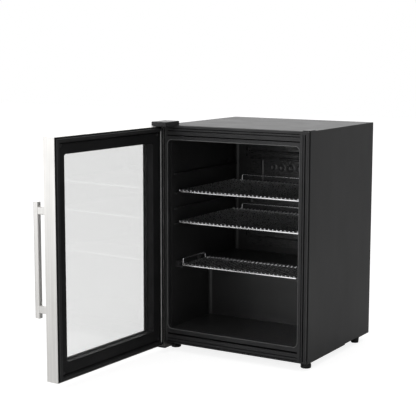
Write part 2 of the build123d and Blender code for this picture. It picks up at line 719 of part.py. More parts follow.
with BuildPart() as hinge_screws:
    for x in TOP_SCREWS_X:
        with Locations((x, TOP_SCREW_Y, TOP_Z + 3.8)):
            Cylinder(4, 2.4)
        with Locations((x, TOP_SCREW_Y, TOP_Z - 4)):
            Cylinder(2, 13.2)
    for x in BOTTOM_SCREWS_X:
        with Locations((x, BOTTOM_SCREW_Y, FOOT_H - 4)):
            Cylinder(3.8, 2.4)
        with Locations((x, BOTTOM_SCREW_Y, 20)):
            Cylinder(2, 12)

# ---------------------------------------------------------------- door, drawn closed
DOOR_BOX = (-HALF_W, HALF_W, DOOR_Z0, DOOR_Z1)
WINDOW = (WIN_X0, WIN_X1, WIN_Z0, WIN_Z1)
GLASS = (GLASS_X0, GLASS_X1, GLASS_Z0, GLASS_Z1)
FACE = grown(WINDOW, 1)


def steel_skin():
    """The folded stainless frame as one ring: face, edges and the lip on the hinge side."""
    with BuildPart() as skin:
        add(ring(facing(DOOR_OUT), DOOR_BOX, FACE, (0, 0), SKIN))
        add(ring(facing(DOOR_OUT), DOOR_BOX, grown(DOOR_BOX, -SKIN), (0, 0), DOOR_IN - DOOR_OUT))
        add(slab((-HALF_W, -HALF_W + LIP), (DOOR_IN - SKIN, DOOR_IN), (DOOR_Z0, DOOR_Z1)))
        for z in (DOOR_Z0, DOOR_Z1):
            with Locations((HINGE_X, HINGE_Y, z)):
                Cylinder(BUSH_R + 0.1, 6, mode=Mode.SUBTRACT)
        with Locations(facing(DOOR_OUT)):
            with Locations((HANDLE_SCREW_X, POST_Z[0]), (HANDLE_SCREW_X, POST_Z[1])):
                Hole(2.7, depth=6)
    return skin.part


SKIN_RING = steel_skin()


def mitred(corners):
    """The stretch of the stainless frame between two mitred corners, given in X and Z."""
    with BuildPart() as member:
        add(SKIN_RING)
        with BuildSketch(facing(DOOR_OUT - 5)):
            with BuildLine():
                Polyline(*corners, close=True)
            make_face()
        extrude(amount=-60, mode=Mode.INTERSECT)
    return member


HINGE_LOW, HINGE_HIGH = (-HALF_W, DOOR_Z0), (-HALF_W, DOOR_Z1)
FREE_LOW, FREE_HIGH = (HALF_W, DOOR_Z0), (HALF_W, DOOR_Z1)
IN_HINGE_LOW, IN_HINGE_HIGH = (FACE[0], FACE[2]), (FACE[0], FACE[3])
IN_FREE_LOW, IN_FREE_HIGH = (FACE[1], FACE[2]), (FACE[1], FACE[3])

door_stile_hinge_side = mitred((HINGE_LOW, IN_HINGE_LOW, IN_HINGE_HIGH, HINGE_HIGH))
door_stile_handle_side = mitred((FREE_LOW, IN_FREE_LOW, IN_FREE_HIGH, FREE_HIGH))
door_rail_top = mitred((HINGE_HIGH, IN_HINGE_HIGH, IN_FREE_HIGH, FREE_HIGH))
door_rail_bottom = mitred((HINGE_LOW, IN_HINGE_LOW, IN_FREE_LOW, FREE_LOW))

INNER_BOX = (-HALF_W + LIP + GAP, HALF_W - SKIN - GAP, DOOR_Z0 + SKIN + GAP, DOOR_Z1 - SKIN - GAP)
GASKET_OUT = (INNER_BOX[0] + 1.0, INNER_BOX[1] - 3.0, INNER_BOX[2] + 3.0, INNER_BOX[3] - 3.0)

with BuildPart() as door_inner_frame:
    add(ring(facing(DOOR_IN - 8), INNER_BOX, WINDOW, (0, 6), 8))
    add(ring(facing(INNER_GLASS_Y + GLASS_T + 0.1), GLASS, WINDOW, (0, 6), 10))
    gutter = (grown(GASKET_OUT, -GASKET_W), grown(GASKET_OUT, -GASKET_W - 2.5))
    add(ring(facing(DOOR_IN - 3), *gutter, (4, 3), 4), mode=Mode.SUBTRACT)
    fillet(door_inner_frame.faces().sort_by(Axis.Y)[-1].inner_wires()[0].edges(), 1.5)

with BuildPart() as door_foam_core:
    add(ring(facing(OUTER_GLASS_Y), grown(DOOR_BOX, -SKIN - GAP), grown(GLASS, GAP), (0, 0), 25.2))
    for z in (DOOR_Z0 + 6, DOOR_Z1 - 6):
        with Locations((HINGE_X, HINGE_Y, z)):
            Cylinder(BUSH_R + 0.2, 16, mode=Mode.SUBTRACT)
    for z in POST_Z:
        with Locations(Location((HANDLE_SCREW_X, DOOR_OUT + 8, z), (90, 0, 0))):
            Cylinder(6, 14, mode=Mode.SUBTRACT)

with BuildPart() as door_gasket:
    add(ring(facing(DOOR_IN), GASKET_OUT, grown(GASKET_OUT, -GASKET_W), (3, 2), GASKET_H))
    pocket = (grown(GASKET_OUT, -3), grown(GASKET_OUT, -7.5))
    add(ring(facing(DOOR_IN - 1), *pocket, (1, 1), 4), mode=Mode.SUBTRACT)
    fillet(door_gasket.faces().sort_by(Axis.Y)[-1].edges(), 1.2)

with BuildPart() as gasket_magnets:
    for side, x in ((-1, GASKET_OUT[0] + 5.2), (1, GASKET_OUT[1] - 5.2)):
        with Locations((x, DOOR_IN + 1.5, (DOOR_Z0 + DOOR_Z1) / 2)):
            Box(3.5, 2.4, 560)
    for z in (GASKET_OUT[2] + 5.2, GASKET_OUT[3] - 5.2):
        with Locations((0, DOOR_IN + 1.5, z)):
            Box(400, 2.4, 3.5)

with BuildPart() as outer_glass:
    add(slab((GLASS_X0, GLASS_X1), (OUTER_GLASS_Y, OUTER_GLASS_Y + GLASS_T), (GLASS_Z0, GLASS_Z1)))

with BuildPart() as inner_glass:
    add(slab((GLASS_X0, GLASS_X1), (INNER_GLASS_Y, INNER_GLASS_Y + GLASS_T), (GLASS_Z0, GLASS_Z1)))

with BuildPart() as glass_spacer:
    add(
        ring(
            facing(OUTER_GLASS_Y + GLASS_T),
            grown(GLASS, -1.5),
            grown(GLASS, -8.5),
            (0, 0),
            INNER_GLASS_Y - OUTER_GLASS_Y - GLASS_T,
        )
    )

with BuildPart() as hinge_bushes:
    for z in (DOOR_Z0 + 5, DOOR_Z1 - 5):
        with Locations((HINGE_X, HINGE_Y, z)):
            Cylinder(BUSH_R, 12)
            Cylinder(PIN_R + 0.05, 12, mode=Mode.SUBTRACT)

# ---------------------------------------------------------------- handle
BAR_Y = DOOR_OUT - HANDLE_REACH - HANDLE_T / 2

with BuildPart() as handle_bar:
    with BuildSketch(Plane.XY.offset(HANDLE_Z0)):
        with Locations((HANDLE_X, BAR_Y)):
            RectangleRounded(HANDLE_W, HANDLE_T, 2.5)
    extrude(amount=HANDLE_Z1 - HANDLE_Z0)
    fillet(handle_bar.faces().sort_by(Axis.Z)[0].edges(), 0.8)
    fillet(handle_bar.faces().sort_by(Axis.Z)[-1].edges(), 0.8)

with BuildPart() as handle_posts:
    for z in POST_Z:
        with BuildSketch(facing(DOOR_OUT - HANDLE_REACH)):
            with Locations((HANDLE_X, z)):
                RectangleRounded(HANDLE_W, POST_H, 2)
        extrude(amount=-HANDLE_REACH)
        with Locations(Location((HANDLE_SCREW_X, DOOR_OUT - 8, z), (90, 0, 0))):
            Cylinder(2.5, 18, mode=Mode.SUBTRACT)

with BuildPart() as handle_screws:
    for z in POST_Z:
        with Locations(Location((HANDLE_SCREW_X, DOOR_OUT - 6, z), (90, 0, 0))):
            Cylinder(2.45, 16)
        with Locations(Location((HANDLE_SCREW_X, DOOR_OUT + SKIN + 1.7, z), (90, 0, 0))):
            Cylinder(4.2, 3.4)

# ---------------------------------------------------------------- write every piece
CABINET_PIECES = {
    "right_side_panel": right_side_panel,
    "left_side_panel": left_side_panel,
    "top_panel": top_panel,
    "back_panel": back_panel,
    "bay_panel": bay_panel,
    "bottom_panel": bottom_panel,
    "compressor_tray": compressor_tray,
    "inner_liner": inner_liner,
    "foam_insulation": foam_insulation,
    "front_frame": front_frame,
    "evaporator_plate": evaporator_plate,
    "evaporator_clips": evaporator_clips,
    "led_board": led_board,
    "lamp_lens": lamp_lens,
    "thermostat_housing": thermostat_housing,
    "thermostat_knob": thermostat_knob,
    "light_switch": light_switch,
    "shelf_upper_frame": shelf_upper_frame,
    "shelf_upper_wires": shelf_upper_wires,
    "shelf_middle_frame": shelf_middle_frame,
    "shelf_middle_wires": shelf_middle_wires,
    "shelf_lower_frame": shelf_lower_frame,
    "shelf_lower_wires": shelf_lower_wires,
    "lower_shelf_supports": lower_shelf_supports,
    "compressor_shell": compressor_shell,
    "compressor_motor": compressor_motor,
    "compressor_base": compressor_base,
    "compressor_grommets": compressor_grommets,
    "compressor_bolts": compressor_bolts,
    "terminal_cover": terminal_cover,
    "condensate_tray": condensate_tray,
    "drain_tube": drain_tube,
    "suction_line": suction_line,
    "condenser_tube": condenser_tube,
    "condenser_wires": condenser_wires,
    "filter_drier": filter_drier,
    "cord_gland": cord_gland,
    "front_foot_left": front_foot_left,
    "front_foot_right": front_foot_right,
    "rear_feet": rear_feet,
    "top_hinge_bracket": top_hinge_bracket,
    "top_hinge_cover": top_hinge_cover,
    "hinge_hole_cap": hinge_hole_cap,
    "bottom_hinge_bracket": bottom_hinge_bracket,
    "hinge_screws": hinge_screws,
}

DOOR_PIECES = {
    "door_stile_hinge_side": door_stile_hinge_side,
    "door_stile_handle_side": door_stile_handle_side,
    "door_rail_top": door_rail_top,
    "door_rail_bottom": door_rail_bottom,
    "door_inner_frame": door_inner_frame,
    "door_foam_core": door_foam_core,
    "door_gasket": door_gasket,
    "gasket_magnets": gasket_magnets,
    "outer_glass": outer_glass,
    "inner_glass": inner_glass,
    "glass_spacer": glass_spacer,
    "hinge_bushes": hinge_bushes,
    "handle_bar": handle_bar,
    "handle_posts": handle_posts,
    "handle_screws": handle_screws,
}

HINGE_AXIS = Axis((HINGE_X, HINGE_Y, 0), (0, 0, 1))


def write(part, name):
    """Label one finished piece and write its STEP."""
    part.label = name
    export_step(part, f"parts/{name}.step")


for name, piece in CABINET_PIECES.items():
    write(piece.part, name)
for name, piece in DOOR_PIECES.items():
    write(piece.part.rotate(HINGE_AXIS, -DOOR_OPEN), name)
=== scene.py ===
"""Looks of the glass-door mini fridge: materials, moulded and welded detail, studio light and camera.

Everything is in metres in the row frame: origin on the floor, X to the right, Y to the back, Z up.
"""
import json
import math
import random

import bpy
from mathutils import Matrix, Vector


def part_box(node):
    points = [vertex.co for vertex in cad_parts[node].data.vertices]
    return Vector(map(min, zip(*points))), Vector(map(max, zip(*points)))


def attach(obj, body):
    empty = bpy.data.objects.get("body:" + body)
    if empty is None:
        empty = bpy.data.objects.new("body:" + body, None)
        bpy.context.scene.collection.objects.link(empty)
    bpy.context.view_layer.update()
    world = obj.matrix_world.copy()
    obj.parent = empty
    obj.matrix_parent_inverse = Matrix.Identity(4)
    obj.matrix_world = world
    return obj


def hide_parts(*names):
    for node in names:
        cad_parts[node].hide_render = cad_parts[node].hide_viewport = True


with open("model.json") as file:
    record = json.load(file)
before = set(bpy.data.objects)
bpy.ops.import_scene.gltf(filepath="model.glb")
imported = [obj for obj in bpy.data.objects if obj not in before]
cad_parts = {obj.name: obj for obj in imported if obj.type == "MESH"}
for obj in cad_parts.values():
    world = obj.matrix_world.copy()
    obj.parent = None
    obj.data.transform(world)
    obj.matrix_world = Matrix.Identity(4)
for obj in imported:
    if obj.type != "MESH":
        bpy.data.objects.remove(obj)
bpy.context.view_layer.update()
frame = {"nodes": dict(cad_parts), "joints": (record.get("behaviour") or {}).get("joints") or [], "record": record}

NODES = frame["nodes"]
MM = 0.001
random.seed(7)


# ---------------------------------------------------------------- camera, floor and light
CAMERA_AT = (1.5082, -2.8233, 0.8506)
CAMERA_AZIMUTH = math.radians(31.1565)
CAMERA_ELEVATION = math.radians(8.2698)
CAMERA_ROLL = math.radians(0.135)
CAMERA_LENS = 100.385


def make_camera():
    """The camera looks at the front and the right side, from a little above."""
    az, el = CAMERA_AZIMUTH, CAMERA_ELEVATION
    back = Vector((math.sin(az) * math.cos(el), -math.cos(az) * math.cos(el), math.sin(el)))
    right = Vector((math.cos(az), math.sin(az), 0))
    up = back.cross(right)
    c, s = math.cos(CAMERA_ROLL), math.sin(CAMERA_ROLL)
    turned = Matrix((c * right + s * up, c * up - s * right, back)).transposed()
    camera = bpy.data.objects.new("camera", bpy.data.cameras.new("camera"))
    bpy.context.scene.collection.objects.link(camera)
    camera.data.lens = CAMERA_LENS
    camera.data.sensor_width = 36
    camera.matrix_world = Matrix.Translation(CAMERA_AT) @ turned.to_4x4()
    bpy.context.scene.camera = camera


def lobe(tree, direction, inner_deg, outer_deg, strength):
    """Brightness of the room around one direction, fading from inner to outer angle."""
    sight = tree.nodes.new("ShaderNodeTexCoord").outputs["Generated"]
    dot = tree.nodes.new("ShaderNodeVectorMath")
    dot.operation = "DOT_PRODUCT"
    dot.inputs[1].default_value = Vector(direction).normalized()
    tree.links.new(sight, dot.inputs[0])
    fade = tree.nodes.new("ShaderNodeMapRange")
    fade.interpolation_type = "SMOOTHSTEP"
    fade.inputs["From Min"].default_value = math.cos(math.radians(outer_deg))
    fade.inputs["From Max"].default_value = math.cos(math.radians(inner_deg))
    fade.inputs["To Max"].default_value = strength
    tree.links.new(dot.outputs["Value"], fade.inputs["Value"])
    return fade.outputs["Result"]


ROOM_DIM = 0.16
ROOM_LOBES = (
    ((-0.51, 0.85, 0.20), 20, 62, 1.42),  # white backdrop behind the cabinet, seen in its top
    ((-0.51, -0.85, -0.05), 25, 60, 0.62),  # bright room in front, to the left
    ((0.0, -0.2, 1.0), 20, 70, 0.5),  # ceiling
)


def make_world():
    """White where the camera looks, and a dim room with bright sides for everything else."""
    world = bpy.data.worlds.new("studio")
    bpy.context.scene.world = world
    world.use_nodes = True
    tree = world.node_tree
    total = None
    for one in ROOM_LOBES:
        value = lobe(tree, *one)
        add = tree.nodes.new("ShaderNodeMath")
        add.operation = "ADD"
        add.inputs[1].default_value = ROOM_DIM
        tree.links.new(value, add.inputs[0])
        if total is not None:
            tree.links.new(total, add.inputs[1])
        total = add.outputs[0]
    room = tree.nodes["Background"]
    tree.links.new(total, room.inputs["Strength"])
    room.inputs["Color"].default_value = (1, 1, 1, 1)
    backdrop = tree.nodes.new("ShaderNodeBackground")
    backdrop.inputs["Color"].default_value = (1, 1, 1, 1)
    pick = tree.nodes.new("ShaderNodeMixShader")
    tree.links.new(tree.nodes.new("ShaderNodeLightPath").outputs["Is Camera Ray"], pick.inputs[0])
    tree.links.new(room.outputs[0], pick.inputs[1])
    tree.links.new(backdrop.outputs[0], pick.inputs[2])
    tree.links.new(pick.outputs[0], tree.nodes["World Output"].inputs["Surface"])


FLOOR_HALF = 9.0
FLOOR_GREY = 0.35  # what the camera sees, under the glow
FLOOR_GLOW = 0.85
FLOOR_BOUNCE = 0.74  # what everything else sees


def make_floor():
    """A plain pale floor that meets the white backdrop without a line."""
    mesh = bpy.data.meshes.new("floor")
    s = FLOOR_HALF
    mesh.from_pydata([(-s, -s, 0), (s, -s, 0), (s, s, 0), (-s, s, 0)], [], [(0, 1, 2, 3)])
    floor = bpy.data.objects.new("floor", mesh)
    bpy.context.scene.collection.objects.link(floor)
    paper = bpy.data.materials.new("floor_paper")
    paper.use_nodes = True
    tree = paper.node_tree
    shader = tree.nodes["Principled BSDF"]
    shader.inputs["Base Color"].default_value = (FLOOR_GREY, FLOOR_GREY, FLOOR_GREY, 1)
    shader.inputs["Roughness"].default_value = 1.0
    shader.inputs["Specular IOR Level"].default_value = 0.0
    shader.inputs["Emission Color"].default_value = (1, 1, 1, 1)
    shader.inputs["Emission Strength"].default_value = FLOOR_GLOW
    dim = tree.nodes.new("ShaderNodeBsdfDiffuse")
    dim.inputs["Color"].default_value = (FLOOR_BOUNCE, FLOOR_BOUNCE, FLOOR_BOUNCE, 1)
    pick = tree.nodes.new("ShaderNodeMixShader")
    tree.links.new(tree.nodes.new("ShaderNodeLightPath").outputs["Is Camera Ray"], pick.inputs[0])
    tree.links.new(dim.outputs[0], pick.inputs[1])
    tree.links.new(shader.outputs[0], pick.inputs[2])
    tree.links.new(pick.outputs[0], tree.nodes["Material Output"].inputs["Surface"])
    mesh.materials.append(paper)


def softbox(name, place, target, size, power):
    """A square area light at place, turned to target, unseen by the camera itself."""
    lamp = bpy.data.lights.new(name, "AREA")
    lamp.size = size
    lamp.energy = power
    holder = bpy.data.objects.new(name, lamp)
    bpy.context.scene.collection.objects.link(holder)
    holder.location = place
    holder.rotation_euler = (Vector(target) - Vector(place)).to_track_quat("-Z", "Y").to_euler()
    holder.visible_camera = False


def make_light():
    """Soft boxes overhead and in front to the left, and a weak one in front to the right."""
    softbox("overhead", (0.2, -0.7, 2.6), (0, -0.2, 0.2), 2.4, 12)
    softbox("front_left", (-1.3, -3.1, 0.55), (0.1, 0, 0.3), 2.8, 25)
    softbox("front_right", (1.6, -2.4, 1.4), (0, 0, 0.3), 1.0, 4)


make_camera()
make_world()
make_floor()
make_light()
bpy.context.scene.view_settings.view_transform = "Standard"


# ---------------------------------------------------------------- materials
class Finish:
    """One procedural material: a Principled shader, and short ways to hang textures on it."""

    def __init__(self, name, color, roughness, metallic=0.0, specular=0.5):
        self.material = bpy.data.materials.new(name)
        self.material.use_nodes = True
        self.tree = self.material.node_tree
        self.shader = self.tree.nodes["Principled BSDF"]
        self.place = self.tree.nodes.new("ShaderNodeTexCoord").outputs["Object"]
        self.normal = None
        self.color = color
        self.set("Base Color", (*color, 1))
        self.set("Roughness", roughness)
        self.set("Metallic", metallic)
        self.set("Specular IOR Level", specular)

    def set(self, socket, value):
        """Set a socket of the shader to a value, or link it to a texture."""
        target = self.shader.inputs[socket]
        if isinstance(value, bpy.types.NodeSocket):
            self.tree.links.new(value, target)
        else:
            target.default_value = value

    def node(self, kind, inputs, **settings):
        """Add a node; inputs are values or the outputs of other nodes."""
        made = self.tree.nodes.new(kind)
        for name, value in settings.items():
            setattr(made, name, value)
        for socket, value in inputs.items():
            if isinstance(value, bpy.types.NodeSocket):
                self.tree.links.new(value, made.inputs[socket])
            else:
                made.inputs[socket].default_value = value
        return made

    def stretched(self, stretch, turn=0.0):
        """The object's coordinates turned about Z, then squeezed by one factor on each axis."""
        turned = self.node("ShaderNodeMapping", {"Vector": self.place, "Rotation": (0, 0, turn)})
        return self.node("ShaderNodeMapping", {"Vector": turned.outputs[0], "Scale": stretch}).outputs[0]

    def noise(self, size_mm, detail=2.0, stretch=(1, 1, 1), turn=0.0):
        """Soft noise with features about size_mm across."""
        inputs = {"Vector": self.stretched(stretch, turn), "Scale": 1 / (size_mm * MM), "Detail": detail}
        return self.node("ShaderNodeTexNoise", inputs).outputs["Fac"]

    def cells(self, size_mm, feature="F1"):
        """Cell pattern with cells about size_mm across: (distance, colour)."""
        inputs = {"Vector": self.place, "Scale": 1 / (size_mm * MM)}
        made = self.node("ShaderNodeTexVoronoi", inputs, feature=feature)
        return made.outputs["Distance"], made.outputs["Color"]

    def remap(self, value, low, high, to_low=0.0, to_high=1.0):
        """Map low..high to to_low..to_high, clamped."""
        inputs = {"Value": value, "From Min": low, "From Max": high, "To Min": to_low, "To Max": to_high}
        return self.node("ShaderNodeMapRange", inputs).outputs["Result"]

    def math(self, operation, first, second):
        """One arithmetic step between two values."""
        return self.node("ShaderNodeMath", {0: first, 1: second}, operation=operation).outputs[0]

    def mix(self, factor, first, second):
        """Blend two colours, each a tuple or a node output."""
        inputs = {0: factor}
        for socket, value in ((6, first), (7, second)):
            inputs[socket] = (*value, 1) if isinstance(value, tuple) else value
        return self.node("ShaderNodeMix", inputs, data_type="RGBA").outputs[2]

    def bump(self, height, depth_mm, strength=1.0):
        """Add relief of about depth_mm on top of any relief so far."""
        inputs = {"Height": height, "Distance": depth_mm * MM, "Strength": strength}
        if self.normal is not None:
            inputs["Normal"] = self.normal
        self.normal = self.node("ShaderNodeBump", inputs).outputs["Normal"]
        self.set("Normal", self.normal)

    def edge_mask(self, radius_mm):
        """1 on edges and corners, 0 on open surface."""
        rounded = self.node("ShaderNodeBevel", {"Radius": radius_mm * MM}, samples=4).outputs["Normal"]
        plain = self.node("ShaderNodeNewGeometry", {}).outputs["Normal"]
        dot = self.node("ShaderNodeVectorMath", {0: rounded, 1: plain}, operation="DOT_PRODUCT")
        return self.remap(dot.outputs["Value"], 0.995, 0.80)

    def upward(self, start=0.5):
        """1 where the surface faces up, as where dust settles."""
        normal = self.node("ShaderNodeNewGeometry", {}).outputs["Normal"]
        split = self.node("ShaderNodeSeparateXYZ", {0: normal})
        return self.remap(split.outputs["Z"], start, 1.0)

    def mottle(self, spread, size_mm=90):
        """Vary the base colour gently over the surface, and finely within that."""
        broad = self.noise(size_mm, 3.0)
        dark = tuple(c * (1 - spread) for c in self.color)
        light = tuple(c * (1 + spread) for c in self.color)
        return self.mix(self.remap(broad, 0.35, 0.65), dark, light)


def edge_wear_and_highlight(finish, base, edge_color, amount, radius_mm=1.2):
    """Lighter edges over a base colour, broken up by noise: partly rubbed paint, partly painted highlight."""
    # paler edges stand for rubbing and for a painted highlight along the edges
    rub_and_highlight = finish.math("MULTIPLY", finish.edge_mask(radius_mm), finish.remap(finish.noise(9), 0.35, 0.75))
    finish.set("Base Color", finish.mix(finish.math("MULTIPLY", rub_and_highlight, amount), base, edge_color))


def sheet_paint(name, color, roughness, specular):
    """Black powder-coated steel: a fine pebbled skin with faint smears."""
    f = Finish(name, color, roughness, specular=specular)
    # edges 2.4 times paler: partly rubbed paint, partly painted highlight
    edge_wear_and_highlight(f, f.mottle(0.05, 160), tuple(2.4 * c for c in color), 0.35)
    smear = f.noise(70, 4.0, (1, 1, 0.35))
    f.set("Roughness", f.remap(smear, 0.3, 0.7, roughness - 0.02, roughness + 0.03))
    f.bump(f.noise(0.9, 2.0), 0.035, 0.55)
    f.bump(f.noise(14, 1.0), 0.05, 0.25)
    return f.material


def moulded(name, color, roughness, specular, grain_mm=0.7, grain_depth=0.02, wear_and_highlight=2.4, shade=None):
    """Injection-moulded plastic: fine spark grain, gentle shine changes and paler edges."""
    f = Finish(name, color, roughness, specular=specular)
    base = f.mottle(0.14, 60)
    # optional painted shade: darker colour and less shine where the mask is 1
    if shade is not None:
        painted_groove_shade = shade(f)
        base = f.mix(painted_groove_shade, base, tuple(0.12 * c for c in color))
        f.set("Specular IOR Level", f.remap(painted_groove_shade, 0, 1, specular, 0.03))
    # edges paler by this factor: partly rubbing, partly painted highlight
    edge_wear_and_highlight(f, base, tuple(wear_and_highlight * c for c in color), 0.5, 0.9)
    f.set("Roughness", f.remap(f.noise(35, 3.0), 0.3, 0.7, roughness - 0.05, roughness + 0.07))
    f.bump(f.noise(grain_mm, 2.0), grain_depth, 0.6)
    f.bump(f.noise(22, 1.0), 0.06, 0.2)
    return f.material


FACE_DEPTH, GROOVE_DEPTH = 0.7 * MM, 1.5 * MM  # shading starts at the first, and is full at the second
FRAME_MIDDLE_Z = 323.4 * MM
PAST_MOUTH_X, PAST_MOUTH_Z = 201 * MM, 263 * MM  # just outside the mouth, from the frame's middle
FACE_HALF_X, FACE_HALF_Z = 217.5 * MM, 299 * MM  # just inside the flanks, from the frame's middle


def frame_groove_shade(f):
    """Mask for painted shade in the front frame's grooves: 1 down in the grooves, 0 on its face, in its mouth and
    on its flanks.
    """
    low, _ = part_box("front_frame")
    split = f.node("ShaderNodeSeparateXYZ", {0: f.place})
    depth = f.remap(split.outputs["Y"], low.y + FACE_DEPTH, low.y + GROOVE_DEPTH)
    across = f.math("ABSOLUTE", split.outputs["X"], 0.0)
    up = f.math("ABSOLUTE", f.math("SUBTRACT", split.outputs["Z"], FRAME_MIDDLE_Z), 0.0)
    past_x, past_z = f.math("SUBTRACT", across, PAST_MOUTH_X), f.math("SUBTRACT", up, PAST_MOUTH_Z)
    out_of_mouth = f.math("MAXIMUM", past_x, past_z)
    within_x, within_z = f.math("LESS_THAN", across, FACE_HALF_X), f.math("LESS_THAN", up, FACE_HALF_Z)
    on_face = f.math("MULTIPLY", within_x, within_z)
    return f.math("MULTIPLY", depth, f.math("MULTIPLY", on_face, f.math("GREATER_THAN", out_of_mouth, 0.0)))


def vacuum_formed(name, color, roughness, specular):
    """Liner sheet drawn over a mould: smoother, with slow waves and a faint scuffed haze."""
    f = Finish(name, color, roughness, specular=specular)
    # liner edges 2.6 times paler: partly rubbing, partly painted highlight
    edge_wear_and_highlight(f, f.mottle(0.16, 110), tuple(2.6 * c for c in color), 0.55, 2.0)
    scuff = f.noise(3.5, 5.0, (1, 1, 0.25))
    f.set("Roughness", f.remap(scuff, 0.3, 0.72, roughness - 0.04, roughness + 0.08))
    f.bump(f.noise(0.55, 1.0), 0.012, 0.5)
    f.bump(f.noise(48, 1.0), 0.16, 0.3)
    return f.material


def brushed(name, color, stretch, turn=0.0):
    """Brushed stainless steel: long fine scratches along one direction, and soft finger haze."""
    f = Finish(name, color, 0.32, metallic=1.0)
    line = f.noise(0.28, 3.0, stretch, turn)
    broad = f.noise(1.6, 2.0, stretch, turn)
    dark = tuple(c * 0.90 for c in color)
    light = tuple(min(1.0, c * 1.06) for c in color)
    f.set("Base Color", f.mix(f.remap(broad, 0.3, 0.7), dark, light))
    haze = f.remap(f.noise(45, 4.0), 0.35, 0.7, 0.0, 0.06)
    f.set("Roughness", f.math("ADD", f.remap(line, 0.3, 0.7, 0.27, 0.40), haze))
    f.bump(line, 0.012, 0.45)
    return f.material


def plated_wire(name, color, metallic=1.0, duller=0.0):
    """Bright chrome-plated rod with drawing lines and a few dull specks."""
    f = Finish(name, color, 0.20, metallic=metallic)
    speck = f.remap(f.noise(1.4, 4.0), 0.62, 0.75)
    f.set("Base Color", f.mix(speck, f.mottle(0.04, 40), tuple(c * 0.7 for c in color)))
    f.set("Roughness", f.remap(f.noise(5, 4.0), 0.3, 0.75, 0.13 + duller, 0.27 + duller))
    f.bump(f.noise(0.6, 2.0), 0.01, 0.4)
    return f.material


def galvanised(name, color):
    """Zinc-coated sheet with its spangle, grey bloom and darker handling marks."""
    f = Finish(name, color, 0.42, metallic=1.0)
    distance, crystal = f.cells(7)
    shade = f.node("ShaderNodeSeparateColor", {0: crystal}).outputs[0]
    dark = tuple(c * 0.72 for c in color)
    spangle = f.mix(f.remap(shade, 0, 1), dark, color)
    bloom = f.remap(f.noise(80, 4.0), 0.45, 0.7, 0.0, 0.55)
    f.set("Base Color", f.mix(bloom, spangle, tuple(c * 1.1 for c in color)))
    f.set("Roughness", f.math("ADD", f.remap(shade, 0, 1, 0.30, 0.48), f.math("MULTIPLY", bloom, 0.15)))
    f.bump(distance, 0.02, 0.25)
    f.bump(f.noise(0.8, 2.0), 0.01, 0.4)
    return f.material


def enamel(name, color):
    """Gloss black enamel, dipped and baked: runs and sags, with dust on what faces up."""
    f = Finish(name, color, 0.22, specular=0.5)
    dust = f.math("MULTIPLY", f.upward(0.55), f.remap(f.noise(4, 5.0), 0.3, 0.7, 0.2, 0.75))
    f.set("Base Color", f.mix(dust, f.mottle(0.12, 40), (0.16, 0.15, 0.14)))
    gloss = f.remap(f.noise(18, 3.0), 0.3, 0.7, 0.16, 0.30)
    f.set("Roughness", f.math("ADD", gloss, f.math("MULTIPLY", dust, 0.45)))
    f.bump(f.noise(9, 2.0, (1, 1, 0.4)), 0.06, 0.35)
    return f.material


def rubber(name, color, roughness, bloom=0.10):
    """Soft black rubber or flexible vinyl with a matt, slightly chalky bloom."""
    f = Finish(name, color, roughness, specular=0.3)
    chalk = f.remap(f.noise(12, 5.0), 0.4, 0.75, 0.0, bloom)
    f.set("Base Color", f.mix(chalk, f.mottle(0.15, 25), (0.20, 0.20, 0.20)))
    f.set("Roughness", f.remap(f.noise(6, 3.0), 0.3, 0.7, roughness - 0.06, roughness + 0.08))
    f.bump(f.noise(0.5, 2.0), 0.02, 0.5)
    return f.material


def drawn_copper(name, color):
    """Copper tube: pink where fresh, brown and duller where it has oxidised."""
    f = Finish(name, color, 0.3, metallic=1.0)
    tarnish = f.remap(f.noise(16, 5.0), 0.38, 0.68)
    f.set("Base Color", f.mix(tarnish, color, (0.30, 0.13, 0.07)))
    f.set("Roughness", f.remap(tarnish, 0, 1, 0.22, 0.48))
    f.bump(f.noise(1.2, 3.0), 0.015, 0.4)
    return f.material


FOAM_SKIN = (0.66, 0.52, 0.28)
# colour of the painted shade on the foam's front end
SEAM_SHADE = (0.010, 0.010, 0.010)


def rigid_foam(name, color, skin_color=FOAM_SKIN, shaded_below_y=-1.0):
    """Poured polyurethane foam: open cells, a smoother skin, and painted shade on its front end, dark where a seam
    shows it.
    """
    f = Finish(name, color, 0.9, specular=0.1)
    distance, _ = f.cells(1.6)
    skin = f.remap(f.noise(30, 4.0), 0.35, 0.7)
    front = f.node("ShaderNodeSeparateXYZ", {0: f.place}).outputs["Y"]
    # painted shade: the foam in front of the given depth is coloured dark, as a seam in shadow
    painted_seam_shade = f.math("LESS_THAN", front, shaded_below_y)
    f.set("Base Color", f.mix(painted_seam_shade, f.mix(skin, color, skin_color), SEAM_SHADE))
    f.set("Roughness", f.remap(distance, 0, 1, 0.85, 1.0))
    f.bump(distance, 0.5, 0.7)
    return f.material


def cold_plate(name, color):
    """Black-coated roll-bonded aluminium, with faint rolling lines, frost-dulled patches, and paler edges that are
    partly rubbed and partly painted highlight.
    """
    f = Finish(name, color, 0.42, specular=0.75)
    # edges 4 times paler: partly rubbing, partly painted highlight on the embossed outlines
    edge_wear_and_highlight(f, f.mottle(0.18, 50), tuple(4.0 * c for c in color), 0.8, 1.5)
    line = f.noise(1.0, 2.0, (0.05, 1, 1))
    f.set("Roughness", f.remap(line, 0.3, 0.7, 0.24, 0.36))
    f.bump(line, 0.01, 0.4)
    return f.material


def cast_iron(name, color):
    """Motor laminations and casting, dark and granular."""
    f = Finish(name, color, 0.6, metallic=0.9)
    f.set("Base Color", f.mix(f.remap(f.noise(2, 4.0), 0.3, 0.7), tuple(c * 0.6 for c in color), color))
    f.set("Roughness", f.remap(f.noise(5, 3.0), 0.3, 0.7, 0.5, 0.75))
    f.bump(f.noise(0.9, 3.0), 0.08, 0.6)
    return f.material


